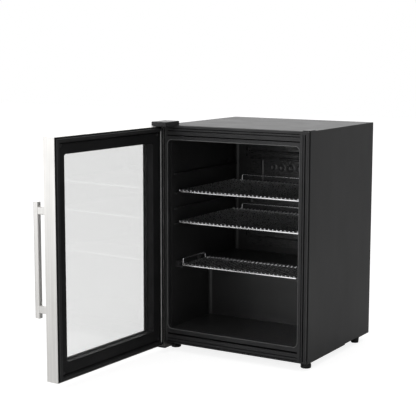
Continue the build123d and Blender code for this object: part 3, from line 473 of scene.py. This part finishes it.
def solder_mask(name, color):
    """White solder mask with faint tracks."""
    f = Finish(name, color, 0.35)
    track = f.remap(f.noise(2.2, 1.0, (0.2, 1, 1)), 0.48, 0.52)
    f.set("Base Color", f.mix(track, color, tuple(c * 0.86 for c in color)))
    f.set("Roughness", f.remap(f.noise(3, 2.0), 0.3, 0.7, 0.3, 0.45))
    f.bump(track, 0.02, 0.4)
    return f.material


def diffuser(name, color):
    """Frosted lamp cover that lets light through softly."""
    f = Finish(name, color, 0.45)
    f.set("Transmission Weight", 0.35)
    f.set("Base Color", f.mottle(0.03, 20))
    f.set("Roughness", f.remap(f.noise(1.0, 3.0), 0.3, 0.7, 0.36, 0.52))
    f.bump(f.noise(0.5, 2.0), 0.02, 0.5)
    return f.material


GLASS_TINT = (0.945, 0.946, 0.945)
GLASS_HEAD_ON = 0.04  # share mirrored when seen straight on


def clear_pane(name):
    """Float glass: clear, mirrored more at a slant, with faint wipe marks in its gloss."""
    f = Finish(name, (1, 1, 1), 0.0)
    tree = f.tree
    tree.nodes.remove(f.shader)
    facing = f.node("ShaderNodeLayerWeight", {"Blend": 0.5}).outputs["Facing"]
    slant = f.math("POWER", facing, 5.0)
    share = f.remap(slant, 0, 1, GLASS_HEAD_ON, 1.0)
    wipe = f.remap(f.noise(40, 5.0, (1, 1, 0.3)), 0.35, 0.75, 0.0, 0.035)
    clear = f.node("ShaderNodeBsdfTransparent", {"Color": (*GLASS_TINT, 1)})
    gloss = f.node("ShaderNodeBsdfGlossy", {"Color": (1, 1, 1, 1), "Roughness": wipe})
    mixed = f.node("ShaderNodeMixShader", {0: share, 1: clear.outputs[0], 2: gloss.outputs[0]})
    tree.links.new(mixed.outputs[0], tree.nodes["Material Output"].inputs["Surface"])
    return f.material


DOOR_HINGE = next(j for j in frame["joints"] if j["name"] == "door_hinge")
DOOR_TURN = math.radians(-DOOR_HINGE["range_deg"][0])  # closed to the pose it stands in
PIVOT = Vector(DOOR_HINGE["pos_m"])
OPENED = (
    Matrix.Translation(PIVOT)
    @ Matrix.Rotation(DOOR_TURN, 4, Vector(DOOR_HINGE["axis"]))
    @ Matrix.Translation(-PIVOT)
)
UPRIGHT = (1, 1, 0.006)  # brushing that runs up and down
ACROSS_DOOR = (1, 0.006, 1)  # brushing along the rails, across the open door
FOAM_FRONT_Y = -0.17  # in front of this the cabinet foam is painted dark as shade, so no seam shows it
STAINLESS = (0.80, 0.79, 0.77)
FRAME_BLACK = (0.021, 0.021, 0.022)

FINISHES = {
    "black_paint": sheet_paint("black_paint_finish", (0.022, 0.022, 0.0225), 0.46, 0.26),
    "zinc_steel": galvanised("zinc_steel_finish", (0.46, 0.47, 0.48)),
    "liner_plastic": vacuum_formed("liner_plastic_finish", (0.018, 0.018, 0.0185), 0.36, 0.60),
    "frame_plastic": moulded("frame_plastic_finish", FRAME_BLACK, 0.40, 0.30),
    "foam": rigid_foam("foam_finish", (0.83, 0.74, 0.48), shaded_below_y=FOAM_FRONT_Y),
    "evaporator_coat": cold_plate("evaporator_finish", (0.024, 0.024, 0.025)),
    "circuit_board": solder_mask("circuit_board_finish", (0.80, 0.80, 0.78)),
    "lamp_diffuser": diffuser("lamp_diffuser_finish", (0.88, 0.88, 0.87)),
    "shelf_chrome": plated_wire("shelf_chrome_finish", (0.80, 0.80, 0.81)),
    "compressor_paint": enamel("compressor_enamel", (0.016, 0.016, 0.017)),
    "motor_iron": cast_iron("motor_iron_finish", (0.20, 0.20, 0.20)),
    "black_rubber": rubber("black_rubber_finish", (0.018, 0.018, 0.018), 0.62),
    "terminal_plastic": moulded("terminal_plastic_finish", (0.045, 0.045, 0.045), 0.55, 0.4, 1.0, 0.03),
    "copper": drawn_copper("copper_finish", (0.74, 0.40, 0.26)),
    "stainless": brushed("stainless_upright", STAINLESS, UPRIGHT),
    "gasket_rubber": rubber("gasket_vinyl", (0.014, 0.014, 0.0145), 0.52, 0.03),
    "magnet": rubber("magnet_strip", (0.10, 0.09, 0.085), 0.7),
    "clear_glass": clear_pane("float_glass"),
    "spacer_black": moulded("spacer_finish", (0.012, 0.012, 0.012), 0.55, 0.2),
}
RAIL_STEEL = brushed("stainless_across", STAINLESS, ACROSS_DOOR, DOOR_TURN - math.pi / 2)
WIRE_FINISH = plated_wire("shelf_wire_finish", (0.62, 0.62, 0.63), 1.0, 0.10)
OWN_FINISH = {
    "door_rail_top": RAIL_STEEL,
    "door_rail_bottom": RAIL_STEEL,
    "door_inner_frame": moulded("door_inner_frame_finish", (0.012, 0.012, 0.0125), 0.50, 0.14),
    # the front frame's grooves get painted shade: darker colour and less shine
    "front_frame": moulded("front_frame_finish", FRAME_BLACK, 0.40, 0.30, wear_and_highlight=1.4, shade=frame_groove_shade),
    "shelf_upper_wires": WIRE_FINISH,
    "shelf_middle_wires": WIRE_FINISH,
    "shelf_lower_wires": WIRE_FINISH,
    "door_foam_core": rigid_foam("door_foam_finish", (0.030, 0.029, 0.027), (0.018, 0.017, 0.016)),
}
SLOT_OF = {part["node"]: part["material_slot"] for part in frame["record"]["subparts"]}


def paint_cad_nodes():
    """Give every CAD node its finish."""
    for name, node in NODES.items():
        finish = OWN_FINISH.get(name, FINISHES[SLOT_OF[name]])
        for slot in node.material_slots:
            slot.material = finish


paint_cad_nodes()


# ---------------------------------------------------------------- mesh forms: (points, faces)
def joined(*forms):
    """Several forms as one."""
    points, faces = [], []
    for more_points, more_faces in forms:
        start = len(points)
        points += more_points
        faces += [tuple(start + i for i in face) for face in more_faces]
    return points, faces


def placed(form, matrix):
    """A form moved by a matrix."""
    points, faces = form
    return [matrix @ Vector(p) for p in points], faces


def rings(loops, closed_ends=True, closed_round=False):
    """Skin a row of loops that all have the same number of points."""
    count = len(loops[0])
    points = [Vector(p) for loop in loops for p in loop]
    faces = []
    spans = len(loops) if closed_round else len(loops) - 1
    for i in range(spans):
        a, b = i * count, (i + 1) % len(loops) * count
        for k in range(count):
            m = (k + 1) % count
            faces.append((a + k, a + m, b + m, b + k))
    if closed_ends and not closed_round:
        faces.append(tuple(reversed(range(count))))
        faces.append(tuple(range(len(points) - count, len(points))))
    return points, faces


def circle(radius, z, segments, flute=0.0, flutes=1):
    """A loop of points round Z, with an optional ripple of the radius."""
    loop = []
    for k in range(segments):
        a = 2 * math.pi * k / segments
        r = radius * (1 + flute * math.cos(flutes * a))
        loop.append((r * math.cos(a), r * math.sin(a), z))
    return loop


def lathe(profile, segments=32, flute=0.0, flutes=1):
    """Turn a profile of (radius, height) pairs round Z, closed at both ends."""
    return rings([circle(r, z, segments, flute, flutes) for r, z in profile])


def on_axis(point, direction):
    """A matrix that puts a form's Z along direction at a point."""
    turn = Vector((0, 0, 1)).rotation_difference(Vector(direction).normalized())
    return Matrix.Translation(point) @ turn.to_matrix().to_4x4()


def rod(route, radius, segments=10):
    """A round rod along a row of points."""
    route = [Vector(p) for p in route]
    loops = []
    side = None
    for i, point in enumerate(route):
        ahead = (route[min(i + 1, len(route) - 1)] - route[max(i - 1, 0)]).normalized()
        if side is None:
            side = ahead.orthogonal().normalized()
        side = (side - ahead * side.dot(ahead)).normalized()
        other = ahead.cross(side)
        angles = [2 * math.pi * k / segments for k in range(segments)]
        loops.append([point + radius * (math.cos(a) * side + math.sin(a) * other) for a in angles])
    return rings(loops)


def rounded_loop(box, inset, radius, steps=6):
    """Points round a rounded rectangle (x0, x1, z0, z1), drawn in by inset, as (x, z)."""
    x0, x1, z0, z1 = box[0] + inset, box[1] - inset, box[2] + inset, box[3] - inset
    r = max(radius - inset, 0.2 * MM)
    corners = ((x1 - r, z1 - r, 0), (x0 + r, z1 - r, 90), (x0 + r, z0 + r, 180), (x1 - r, z0 + r, 270))
    loop = []
    for x, z, start in corners:
        for k in range(steps + 1):
            a = math.radians(start + 90 * k / steps)
            loop.append((x + r * math.cos(a), z + r * math.sin(a)))
    return loop


def framed(profile, box, radius, base_y):
    """Sweep a closed profile of (inset, rise) round a rounded rectangle; rise is along +Y."""
    loops = []
    for inset, rise in profile:
        loops.append([(x, base_y + rise, z) for x, z in rounded_loop(box, inset, radius)])
    return rings(loops, closed_ends=False, closed_round=True)


SHARP_ANGLE = math.radians(38)


def piece(name, form, body, slot, finish=None, replaces=(), sharp=SHARP_ANGLE):
    """Make one visible piece from a form, riding on a body."""
    points, faces = form
    mesh = bpy.data.meshes.new(name)
    mesh.from_pydata([tuple(p) for p in points], [], faces)
    mesh.validate()
    made = bpy.data.objects.new(name, mesh)
    bpy.context.scene.collection.objects.link(made)
    mesh.materials.append(finish or FINISHES[slot])
    mesh.shade_smooth()
    mesh.set_sharp_from_angle(angle=sharp)
    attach(made, body)
    if replaces:
        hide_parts(*replaces)
    return made


def closed_box(node):
    """A door node's box with the door shut: (lowest, highest) corner."""
    back = OPENED.inverted()
    points = [back @ v.co for v in NODES[node].data.vertices]
    low = Vector(min(p[i] for p in points) for i in range(3))
    high = Vector(max(p[i] for p in points) for i in range(3))
    return low, high


# ---------------------------------------------------------------- screws, welds and small fittings
def cross_outline(reach, half_width):
    """Twenty-four points round a cross, to match the points of a round screw head."""
    corner = half_width
    base = []
    for quarter in range(4):
        a = quarter * math.pi / 2
        turn = Matrix.Rotation(a, 2)
        base += [turn @ Vector((reach, -half_width)), turn @ Vector((reach, half_width))]
        base.append(turn @ Vector((corner, corner)))
    points = []
    for i, p in enumerate(base):
        points += [p, (p + base[(i + 1) % len(base)]) / 2]
    return points


def pan_screw(radius, height):
    """A domed screw head with a cross recess, its seat at z = 0."""
    start = math.radians(-15)

    def ring(r, z):
        steps = [start + 2 * math.pi * k / 24 for k in range(24)]
        return [(r * math.cos(a), r * math.sin(a), z) for a in steps]

    def recess(scale, z):
        return [(p.x * scale, p.y * scale, z) for p in cross_outline(0.58 * radius, 0.16 * radius)]

    loops = [ring(radius * 0.9, 0), ring(radius, 0.25 * height), ring(radius * 0.93, 0.65 * height)]
    loops += [ring(radius * 0.74, 0.92 * height), recess(1.0, height), recess(0.8, 0.25 * height)]
    return rings(loops)


def screws(name, spots, direction, radius_mm, height_mm, body, slot="zinc_steel"):
    """Pan-head screws at several points, all facing one way, each turned a little differently."""
    forms = []
    for spot in spots:
        spin = Matrix.Rotation(random.uniform(0, math.pi), 4, "Z")
        forms.append(placed(pan_screw(radius_mm * MM, height_mm * MM), on_axis(spot, direction) @ spin))
    return piece(name, joined(*forms), body, slot)


def bead(radius, flat, segments=8):
    """A flattened weld bead about its own middle."""
    profile = [(0.05, -1), (0.62, -0.75), (0.95, -0.2), (0.95, 0.25), (0.6, 0.78), (0.05, 1)]
    return lathe([(r * radius, z * radius * flat) for r, z in profile], segments)


CROPPED_END = plated_wire("cropped_end_finish", (0.90, 0.90, 0.91), 0.6)
# a wire's cropped tip: (share of the wire's radius, height in mm)
CROPPED_TIP = ((1.0, -2.2), (1.16, -1.2), (1.18, 0.0), (1.08, 0.25), (0.90, 0.36), (0.05, 0.40))
WIRE_PITCH = 12 * MM  # nearly: each shelf has a whole number of steps


def weld_shelf(name, node_frame, node_wires, body):
    """A weld bead where each wire crosses the front and back rods, and a cropped tip on its free ends."""
    frame_low, frame_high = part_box(node_frame)
    wires_low, wires_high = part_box(node_wires)
    rod_r = 2.5 * MM
    wire_r = (wires_high.z - wires_low.z) / 2
    spans = round((wires_high.x - wires_low.x - 2 * wire_r) / WIRE_PITCH)
    first = wires_low.x + wire_r
    pitch = (wires_high.x - wires_low.x - 2 * wire_r) / spans
    rod_front, rod_back = frame_low.y + rod_r, frame_high.y - rod_r
    beads, tips = [], []
    for step in range(spans + 1):
        x = first + step * pitch
        for y, grow in ((rod_front, 1.0), (rod_back, 1.35)):
            size = wire_r * random.uniform(1.10, 1.3) * grow
            beads.append(placed(bead(size, 0.6), Matrix.Translation((x, y, wires_low.z + 0.1 * MM))))
        for y, way in ((wires_low.y, -1), (wires_high.y, 1)):
            if way < 0 and wires_low.y > frame_low.y:
                continue  # on the lower shelf the wires end on the front rod
            middle = (x, y, wires_low.z + wire_r)
            tip = lathe([(r * wire_r, h * MM) for r, h in CROPPED_TIP], 14)
            tips.append(placed(tip, on_axis(middle, (0, way, 0))))
    piece(f"{name}_welds", joined(*beads), body, "shelf_chrome")
    piece(f"{name}_wire_tips", joined(*tips), body, "shelf_chrome", finish=CROPPED_END)


for level in ("upper", "middle", "lower"):
    weld_shelf(f"shelf_{level}", f"shelf_{level}_frame", f"shelf_{level}_wires", f"shelf_{level}")


# ---------------------------------------------------------------- door
def door_gasket():
    """The magnetic gasket: a foot in the groove, a folding bellows and the magnet pocket."""
    low, high = closed_box("door_gasket")
    box = (low.x, high.x, low.z, high.z)
    width, height = 10.5, (high.y - low.y) / MM
    outline = (
        (0.8, 0.0), (0.2, 0.7), (0.5, 1.3), (1.5, 1.8), (1.6, 2.2), (0.5, 2.7), (0.0, 3.3),
        (0.0, height - 1.2), (0.5, height - 0.3), (1.4, height), (4.6, height), (5.2, height - 0.3),
        (5.8, height), (7.4, height), (8.2, height - 0.3), (8.6, height - 1.2), (8.5, 3.3),
        (7.6, 2.7), (7.5, 2.2), (9.0, 1.7), (width - 0.1, 1.2), (width, 0.5), (width - 0.6, 0.0),
    )
    profile = [(inset * MM, rise * MM) for inset, rise in outline]
    corner = 3 * MM
    form = framed(profile, box, corner, low.y)
    piece("door_gasket_bellows", placed(form, OPENED), "door", "gasket_rubber", replaces=["door_gasket"])


def door_plugs():
    """Small domed plugs over the fixings of the door's inner frame."""
    low, high = closed_box("door_inner_frame")
    inset_x, inset_z = 21 * MM, 20 * MM
    dome = [
        (0.05, -0.5), (4.0, -0.5), (4.0, 0.2), (3.6, 0.6), (3.1, 0.75), (2.9, 0.6), (1.4, 0.95), (0.05, 1.0),
    ]
    forms = []
    for x in (low.x + inset_x, high.x - inset_x):
        for z in (low.z + inset_z, high.z - inset_z):
            spot = (x, high.y, z)
            turned = on_axis(spot, (0, 1, 0))
            forms.append(placed(lathe([(r * MM, h * MM) for r, h in dome], 24), turned))
    piece("door_frame_plugs", placed(joined(*forms), OPENED), "door", "frame_plastic")


def window_bead():
    """The soft glazing bead between the inner frame and the inner pane."""
    low, high = closed_box("inner_glass")
    frame_edge, handle_edge, corner = 10 * MM, 5 * MM, 2.5 * MM
    box = (low.x + frame_edge, high.x - handle_edge, low.z + frame_edge, high.z - frame_edge)
    profile = [(-0.2, -0.1), (1.4, -0.1), (1.9, 0.3), (1.7, 0.9), (1.0, 1.4), (-0.2, 1.7)]
    form = framed([(a * MM, b * MM) for a, b in profile], box, corner, high.y)
    piece("window_glazing_bead", placed(form, OPENED), "door", "gasket_rubber")


def gasket_highlight_bead():
    """A pale bead along the gasket on the hinge side; its pale colour is a painted highlight line."""
    low, high = closed_box("door_gasket")
    radius, from_edge, end_gap = 1.2 * MM, 9.2 * MM, 3 * MM
    x, y = low.x + from_edge, high.y - radius
    route = [(x, y, low.z + end_gap), (x, y, high.z - end_gap)]
    # the bead's pale colour is a painted highlight along the gasket's edge
    pale = rubber("gasket_highlight_bead_vinyl", (0.42, 0.42, 0.415), 0.42, 0.05)
    form = placed(rod(route, radius, 16), OPENED)
    piece("gasket_hinge_side_highlight_bead", form, "door", "gasket_rubber", finish=pale)


MOUTH = (-199 * MM, 199 * MM, 62.8 * MM, 584 * MM)  # left, right, bottom, top
MOUTH_CORNER = 13 * MM


def mouth_lip():
    """The small rolled lip round the mouth of the front frame, paler than the frame: a painted highlight along the
    mouth's edge.
    """
    low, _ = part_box("front_frame")
    profile = [
        (-0.9, 0.3), (-0.9, -0.5), (-0.5, -0.9), (0.2, -1.0),
        (0.7, -0.7), (0.9, -0.1), (0.9, 2.0), (-0.2, 2.0),
    ]
    form = framed([(a * MM, b * MM) for a, b in profile], MOUTH, MOUTH_CORNER, low.y)
    # paler than the frame plastic: painted highlight along the mouth's edge
    gloss = moulded("mouth_lip_highlight_finish", (0.085, 0.085, 0.086), 0.34, 0.6)
    piece("mouth_lip", form, "root", "frame_plastic", finish=gloss)


door_gasket()
door_plugs()
window_bead()
gasket_highlight_bead()
mouth_lip()


# ---------------------------------------------------------------- cold plate
def stadium(x, z, x0, x1, z0, half):
    """Height share of a round-topped bar from x0 to x1 along z0."""
    dx = max(x0 - x, 0, x - x1)
    d = math.hypot(dx, z - z0) / half
    return max(0.0, 1 - d * d)


def upright_bar(x, z, x0, z0, z1, half):
    """Height share of a round-topped bar from z0 to z1 along x0."""
    return stadium(z, x, z0, z1, x0, half)


PLATE_SHARP = 1.2  # radians: only the plate's rim stays sharp


def cold_plate_relief():
    """The roll-bonded plate: refrigerant channels blown up from flat sheet, rings and ribs."""
    low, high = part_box("evaporator_plate")
    step = 1.6 * MM
    columns = round((high.x - low.x) / step)
    rows = round((high.z - low.z) / step)
    front, back = low.y, high.y
    sheet_y = front + 1.5 * MM
    middle_x = (low.x + high.x) / 2
    reach = (high.x - low.x) / 2 - 14 * MM
    ring_z, ring_r = high.z - 67 * MM, 8 * MM
    ring_xs = [middle_x + (k * 29 - 65) * MM for k in range(5)]
    channel_zs = [low.z + (28 + 32 * k) * MM for k in range(6)]
    feed_x = middle_x - 102 * MM
    half = 4.2 * MM

    def rise(x, z):
        best = 0.0
        for k, z0 in enumerate(channel_zs):
            best = max(best, stadium(x, z, middle_x - reach, middle_x + reach, z0, half))
            if k:
                side = middle_x + (reach if k % 2 else -reach)
                best = max(best, upright_bar(x, z, side, channel_zs[k - 1], z0, half))
        for z0 in (high.z - 24 * MM, high.z - 42 * MM):
            best = max(best, stadium(x, z, middle_x - reach, middle_x + reach, z0, half))
        best = max(best, upright_bar(x, z, feed_x, high.z - 130 * MM, high.z - 50 * MM, half * 0.8))
        for x0 in ring_xs:
            d = (math.hypot(x - x0, z - ring_z) - ring_r) / (2.2 * MM)
            best = max(best, 1 - d * d)
        return min(1.0, best * 1.15)

    points, faces = [], []
    for r in range(rows + 1):
        for c in range(columns + 1):
            x = low.x + (high.x - low.x) * c / columns
            z = low.z + (high.z - low.z) * r / rows
            points.append(Vector((x, sheet_y - (sheet_y - front) * rise(x, z), z)))
    across = columns + 1
    for r in range(rows):
        for c in range(columns):
            a = r * across + c
            faces.append((a, a + 1, a + across + 1, a + across))
    rim = list(range(across))
    rim += [r * across + columns for r in range(1, rows + 1)]
    rim += [rows * across + c for c in range(columns - 1, -1, -1)]
    rim += [r * across for r in range(rows - 1, 0, -1)]
    start = len(points)
    for i in rim:
        points.append(Vector((points[i].x, back, points[i].z)))
    count = len(rim)
    for k in range(count):
        m = (k + 1) % count
        faces.append((rim[m], rim[k], start + k, start + m))
    faces.append(tuple(start + k for k in range(count)))
    form = (points, faces)
    gone = ["evaporator_plate"]
    piece("cold_plate_relief", form, "root", "evaporator_coat", replaces=gone, sharp=PLATE_SHARP)


cold_plate_relief()


# ---------------------------------------------------------------- thermostat, lamp and feet
def thermostat_dial():
    """The knob with a fluted rim and a raised grip, turned on its own spindle."""
    low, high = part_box("thermostat_knob")
    centre_y, centre_z = (low.y + high.y) / 2, (low.z + high.z) / 2
    reach = high.x - low.x
    radius = (high.y - low.y) / 2
    sunk_mm = 6.0
    profile = [
        (0.22, -sunk_mm), (0.22, 0.5), (0.97, 0.5), (0.97, 2.2),
        (0.95, 8.5), (0.90, 10.0), (0.84, 10.5), (0.05, 10.6),
    ]
    loops = []
    for r, z in profile:
        flute = 0.025 if 0.9 < r < 0.98 else 0.0
        loops.append(circle(radius * r, z * MM, 96, flute, 24))
    full = reach / MM - sunk_mm
    grip = rounded_loop((-12 * MM, 12 * MM, -3 * MM, 3 * MM), 0, 2 * MM)
    grip_loops = []
    for z, scale in ((10.3, 1.0), (full - 1.0, 0.94), (full, 0.84)):
        grip_loops.append([(x * scale, y * scale, z * MM) for x, y in grip])
    form = joined(rings(loops), rings(grip_loops))
    spindle = on_axis((high.x - sunk_mm * MM, centre_y, centre_z), (-1, 0, 0))
    piece("thermostat_dial", placed(form, spindle), "knob", "frame_plastic", replaces=["thermostat_knob"])


def dial_marks():
    """Raised marks round the dial, growing from cold to coldest."""
    knob_low, knob_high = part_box("thermostat_knob")
    housing_low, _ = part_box("thermostat_housing")
    centre = Vector((housing_low.x, (knob_low.y + knob_high.y) / 2, (knob_low.z + knob_high.z) / 2))
    forms = []
    radius = 18.4 * MM
    for k in range(7):
        a = math.radians(-45 + 45 * k)
        size = (0.5 + 0.09 * k) * MM
        spot = centre + Vector((0, radius * math.cos(a), radius * math.sin(a)))
        profile = [(1.0, -0.3 * MM / size), (1.0, 0.4), (0.8, 0.6), (0.1, 0.65)]
        forms.append(placed(lathe([(r * size, z * size) for r, z in profile], 16), on_axis(spot, (-1, 0, 0))))
    piece("dial_marks", joined(*forms), "root", "lamp_diffuser")


def lamp_cover():
    """The lamp's hollow cover: fine prisms across its face, and four thin walls."""
    low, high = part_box("lamp_lens")
    prisms = 46
    margin = 3 * MM
    top = low.z + 1.5 * MM
    columns = [(low.x, low.z + 0.9 * MM), (low.x + 1.2 * MM, low.z)]
    for k in range(2 * prisms + 1):
        x = low.x + margin + (high.x - low.x - 2 * margin) * k / (2 * prisms)
        columns.append((x, low.z + (0.7 * MM if k % 2 else 0.1 * MM)))
    columns += [(high.x - 1.2 * MM, low.z), (high.x, low.z + 0.9 * MM)]
    loops = [[(x, low.y, z), (x, high.y, z), (x, high.y, top), (x, low.y, top)] for x, z in columns]
    walls = []
    for inset, z in ((0, low.z + 0.9 * MM), (0, high.z), (1.5 * MM, high.z), (1.5 * MM, low.z + 0.9 * MM)):
        x0, x1, y0, y1 = low.x + inset, high.x - inset, low.y + inset, high.y - inset
        walls.append([(x0, y0, z), (x1, y0, z), (x1, y1, z), (x0, y1, z)])
    form = joined(rings(loops), rings(walls, False, True))
    piece("lamp_cover_prisms", form, "root", "lamp_diffuser", replaces=["lamp_lens"], sharp=0.3)


def levelling_foot(side):
    """A levelling foot: fluted pad, hexagon and threaded stud."""
    node = f"front_foot_{side}"
    low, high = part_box(node)
    centre = Vector(((low.x + high.x) / 2, (low.y + high.y) / 2, 0))
    radius = (high.x - low.x) / 2
    profile = (
        (0.90, 0.0, 0.0), (0.97, 0.8, 0.0), (0.985, 1.4, 0.015), (0.985, 9.0, 0.015),
        (0.93, 11.0, 0.0), (0.76, 12.0, 0.0), (0.10, 12.0, 0.0),
    )  # (share of the radius, height in mm, share that the fluting adds)
    pad = rings([circle(radius * share, z * MM, 96, flute, 24) for share, z, flute in profile])
    nut = ((7.0, 11.8), (7.5, 12.3), (7.5, 15.0), (7.0, 15.5))
    hexagon = lathe([(r * MM, z * MM) for r, z in nut], 6)
    thread = []
    z = 15.0 * MM
    while z < high.z - 0.6 * MM:
        thread += [(3.5 * MM, z), (4.0 * MM, z + 0.5 * MM)]
        z += 1.0 * MM
    thread += [(3.4 * MM, high.z - 0.2 * MM), (0.3 * MM, high.z)]
    form = placed(joined(pad, hexagon, lathe(thread, 24)), Matrix.Translation(centre))
    piece(f"levelling_foot_{side}", form, f"foot_{side}", "black_rubber", replaces=[node], sharp=0.5)


thermostat_dial()
dial_marks()
lamp_cover()
levelling_foot("left")
levelling_foot("right")


# ---------------------------------------------------------------- back of the cabinet
def back_screws():
    """Screws round the back panel and along the compressor tray."""
    low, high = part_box("back_panel")
    edge = 7 * MM
    spots = []
    inward = (edge, 0, 0, 0, -edge)  # the end screws stand in from the panel's corners
    for x in (low.x + edge, high.x - edge):
        spots += [(x, high.y, low.z + (high.z - low.z) * k / 4 + shift) for k, shift in enumerate(inward)]
    spots += [(x, high.y, high.z - edge) for x in (-0.07, 0.07)]
    screws("back_panel_screws", spots, (0, 1, 0), 3.6, 2.2, "root")
    tray_low, tray_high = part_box("compressor_tray")
    tray = [(x, tray_high.y, tray_high.z - 6 * MM) for x in (-0.205, -0.06, 0.06, 0.205)]
    screws("compressor_tray_screws", tray, (0, 1, 0), 3.2, 0.9, "root")


def foam_port_plugs():
    """Snap-in plugs over the two holes that the foam was poured through."""
    _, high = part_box("back_panel")
    dome = [
        (0.1, -2.0), (4.6, -2.0), (4.8, 0.0), (8.0, 0.0), (8.0, 0.6),
        (7.2, 1.1), (5.0, 1.2), (4.6, 0.8), (0.1, 0.8),
    ]
    forms = []
    for x, z in ((-0.180, 0.520), (0.150, 0.470)):
        plug = lathe([(r * MM, h * MM) for r, h in dome], 28)
        forms.append(placed(plug, on_axis((x, high.y, z), (0, 1, 0))))
    piece("foam_port_plugs", joined(*forms), "root", "terminal_plastic")


def condenser_saddles():
    """Bent straps that hold the condenser off the back panel, each with its screw."""
    tube_low, tube_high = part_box("condenser_wires")
    _, panel_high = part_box("back_panel")
    tube_y = (tube_low.y + tube_high.y) / 2
    flat_y, raised_y = panel_high.y + 0.1 * MM, tube_y - 3.4 * MM
    half, thick = 5 * MM, 1.0 * MM
    forms, spots = [], []
    for x in (tube_low.x - 8.5 * MM, tube_high.x + 8.5 * MM):
        for z in (0.251, 0.401, 0.551):
            outline = [
                (flat_y, z - 22 * MM), (flat_y, z - 9 * MM), (raised_y, z - 5 * MM),
                (raised_y, z + 5 * MM), (flat_y, z + 9 * MM), (flat_y, z + 22 * MM),
            ]
            loops = []
            for y, at_z in outline:
                corners = ((x - half, y), (x + half, y), (x + half, y + thick), (x - half, y + thick))
                loops.append([(*corner, at_z) for corner in corners])
            forms.append(rings(loops))
            spots += [(x, panel_high.y + 1.1 * MM, z - 16 * MM), (x, panel_high.y + 1.1 * MM, z + 16 * MM)]
    piece("condenser_saddles", joined(*forms), "root", "zinc_steel")
    screws("condenser_screws", spots, (0, 1, 0), 3.2, 2.0, "root")


def compressor_fittings():
    """Seam weld, brazed sleeves and the crimped filling stub of the compressor."""
    low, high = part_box("compressor_shell")
    centre = Vector(((low.x + high.x) / 2, (low.y + high.y) / 2, 0))
    radius = (high.x - low.x) / 2 - 4 * MM
    seam_z = low.z + 77.2 * MM
    seam = []
    for k in range(12):
        a = 2 * math.pi * k / 12
        seam.append((radius + 1.6 * MM * math.cos(a), seam_z + 1.2 * MM * math.sin(a)))
    loops = [circle(r, z, 120, 0.004, 60) for r, z in seam]
    form = placed(rings(loops, False, True), Matrix.Translation(centre))
    piece("compressor_seam_weld", form, "root", "compressor_paint")
    stub_z = seam_z - 25 * MM
    a = math.radians(35)
    out = Vector((math.cos(a), math.sin(a), 0))
    start = centre + out * (radius - 1 * MM) + Vector((0, 0, stub_z))
    bends = ((0, 0), (12, 0), (20, 4), (22, 22))
    stub = [start + out * along * MM + Vector((0, 0, up * MM)) for along, up in bends]
    collar = ((3.4, 0), (4.6, 0.6), (4.2, 4), (3.1, 6))
    sleeve = placed(lathe([(r * MM, h * MM) for r, h in collar], 20), on_axis(start, out))
    pinch = ((2.9, 0), (3.2, 1), (3.2, 3), (2.9, 4))
    crimp = placed(lathe([(r * MM, h * MM) for r, h in pinch], 16), on_axis(stub[-1], (0, 0, 1)))
    piece("compressor_filling_stub", joined(rod(stub, 3 * MM, 14), sleeve, crimp), "root", "copper")


def drier_collars():
    """Brazed necks at both ends of the filter drier, and its capillary."""
    low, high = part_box("filter_drier")
    centre = Vector(((low.x + high.x) / 2, (low.y + high.y) / 2, 0))
    forms = []
    for z, way in ((high.z, 1), (low.z, -1)):
        neck = [(5.2 * MM, -1.5 * MM), (4.4 * MM, 1.5 * MM), (3.0 * MM, 5 * MM), (2.4 * MM, 9 * MM)]
        forms.append(placed(lathe(neck, 20), on_axis(centre + Vector((0, 0, z)), (0, 0, way))))
    capillary = []
    top = centre + Vector((0, 0, high.z + 8 * MM))
    coil_r = 9 * MM
    for k in range(49):
        a = 2 * math.pi * k / 16
        spread = min(1.0, k / 8)
        x, y = coil_r * math.sin(a) * spread, -coil_r * (1 - math.cos(a)) * spread
        capillary.append(top + Vector((x, y, k * 0.45 * MM)))
    forms.append(rod(capillary, 1.0 * MM, 8))
    piece("drier_necks_and_capillary", joined(*forms), "root", "copper")


back_screws()
foam_port_plugs()
condenser_saddles()
compressor_fittings()
drier_collars()


# ---------------------------------------------------------------- softened edges of CAD nodes
def soften(node, width_mm, segments=2, angle_deg=40):
    """Round the hard edges of a CAD node with modifiers only."""
    target = NODES[node]
    weld = target.modifiers.new("weld", "WELD")
    weld.merge_threshold = 0.002 * MM
    flat = target.modifiers.new("flat", "DECIMATE")
    flat.decimate_type = "DISSOLVE"
    flat.angle_limit = math.radians(0.4)
    bevel = target.modifiers.new("soft_edges", "BEVEL")
    bevel.width = width_mm * MM
    bevel.segments = segments
    bevel.limit_method = "ANGLE"
    bevel.angle_limit = math.radians(angle_deg)
    bevel.use_clamp_overlap = True
    bevel.harden_normals = True


SOFT_EDGES = {
    "right_side_panel": 0.5,
    "left_side_panel": 0.5,
    "front_frame": 0.45,
    "door_inner_frame": 0.5,
    "handle_posts": 0.35,
    "lower_shelf_supports": 0.8,
    "evaporator_clips": 0.4,
    "terminal_cover": 0.6,
    "hinge_hole_cap": 0.4,
    "light_switch": 0.5,
}
for softened, edge_width in SOFT_EDGES.items():
    soften(softened, edge_width)
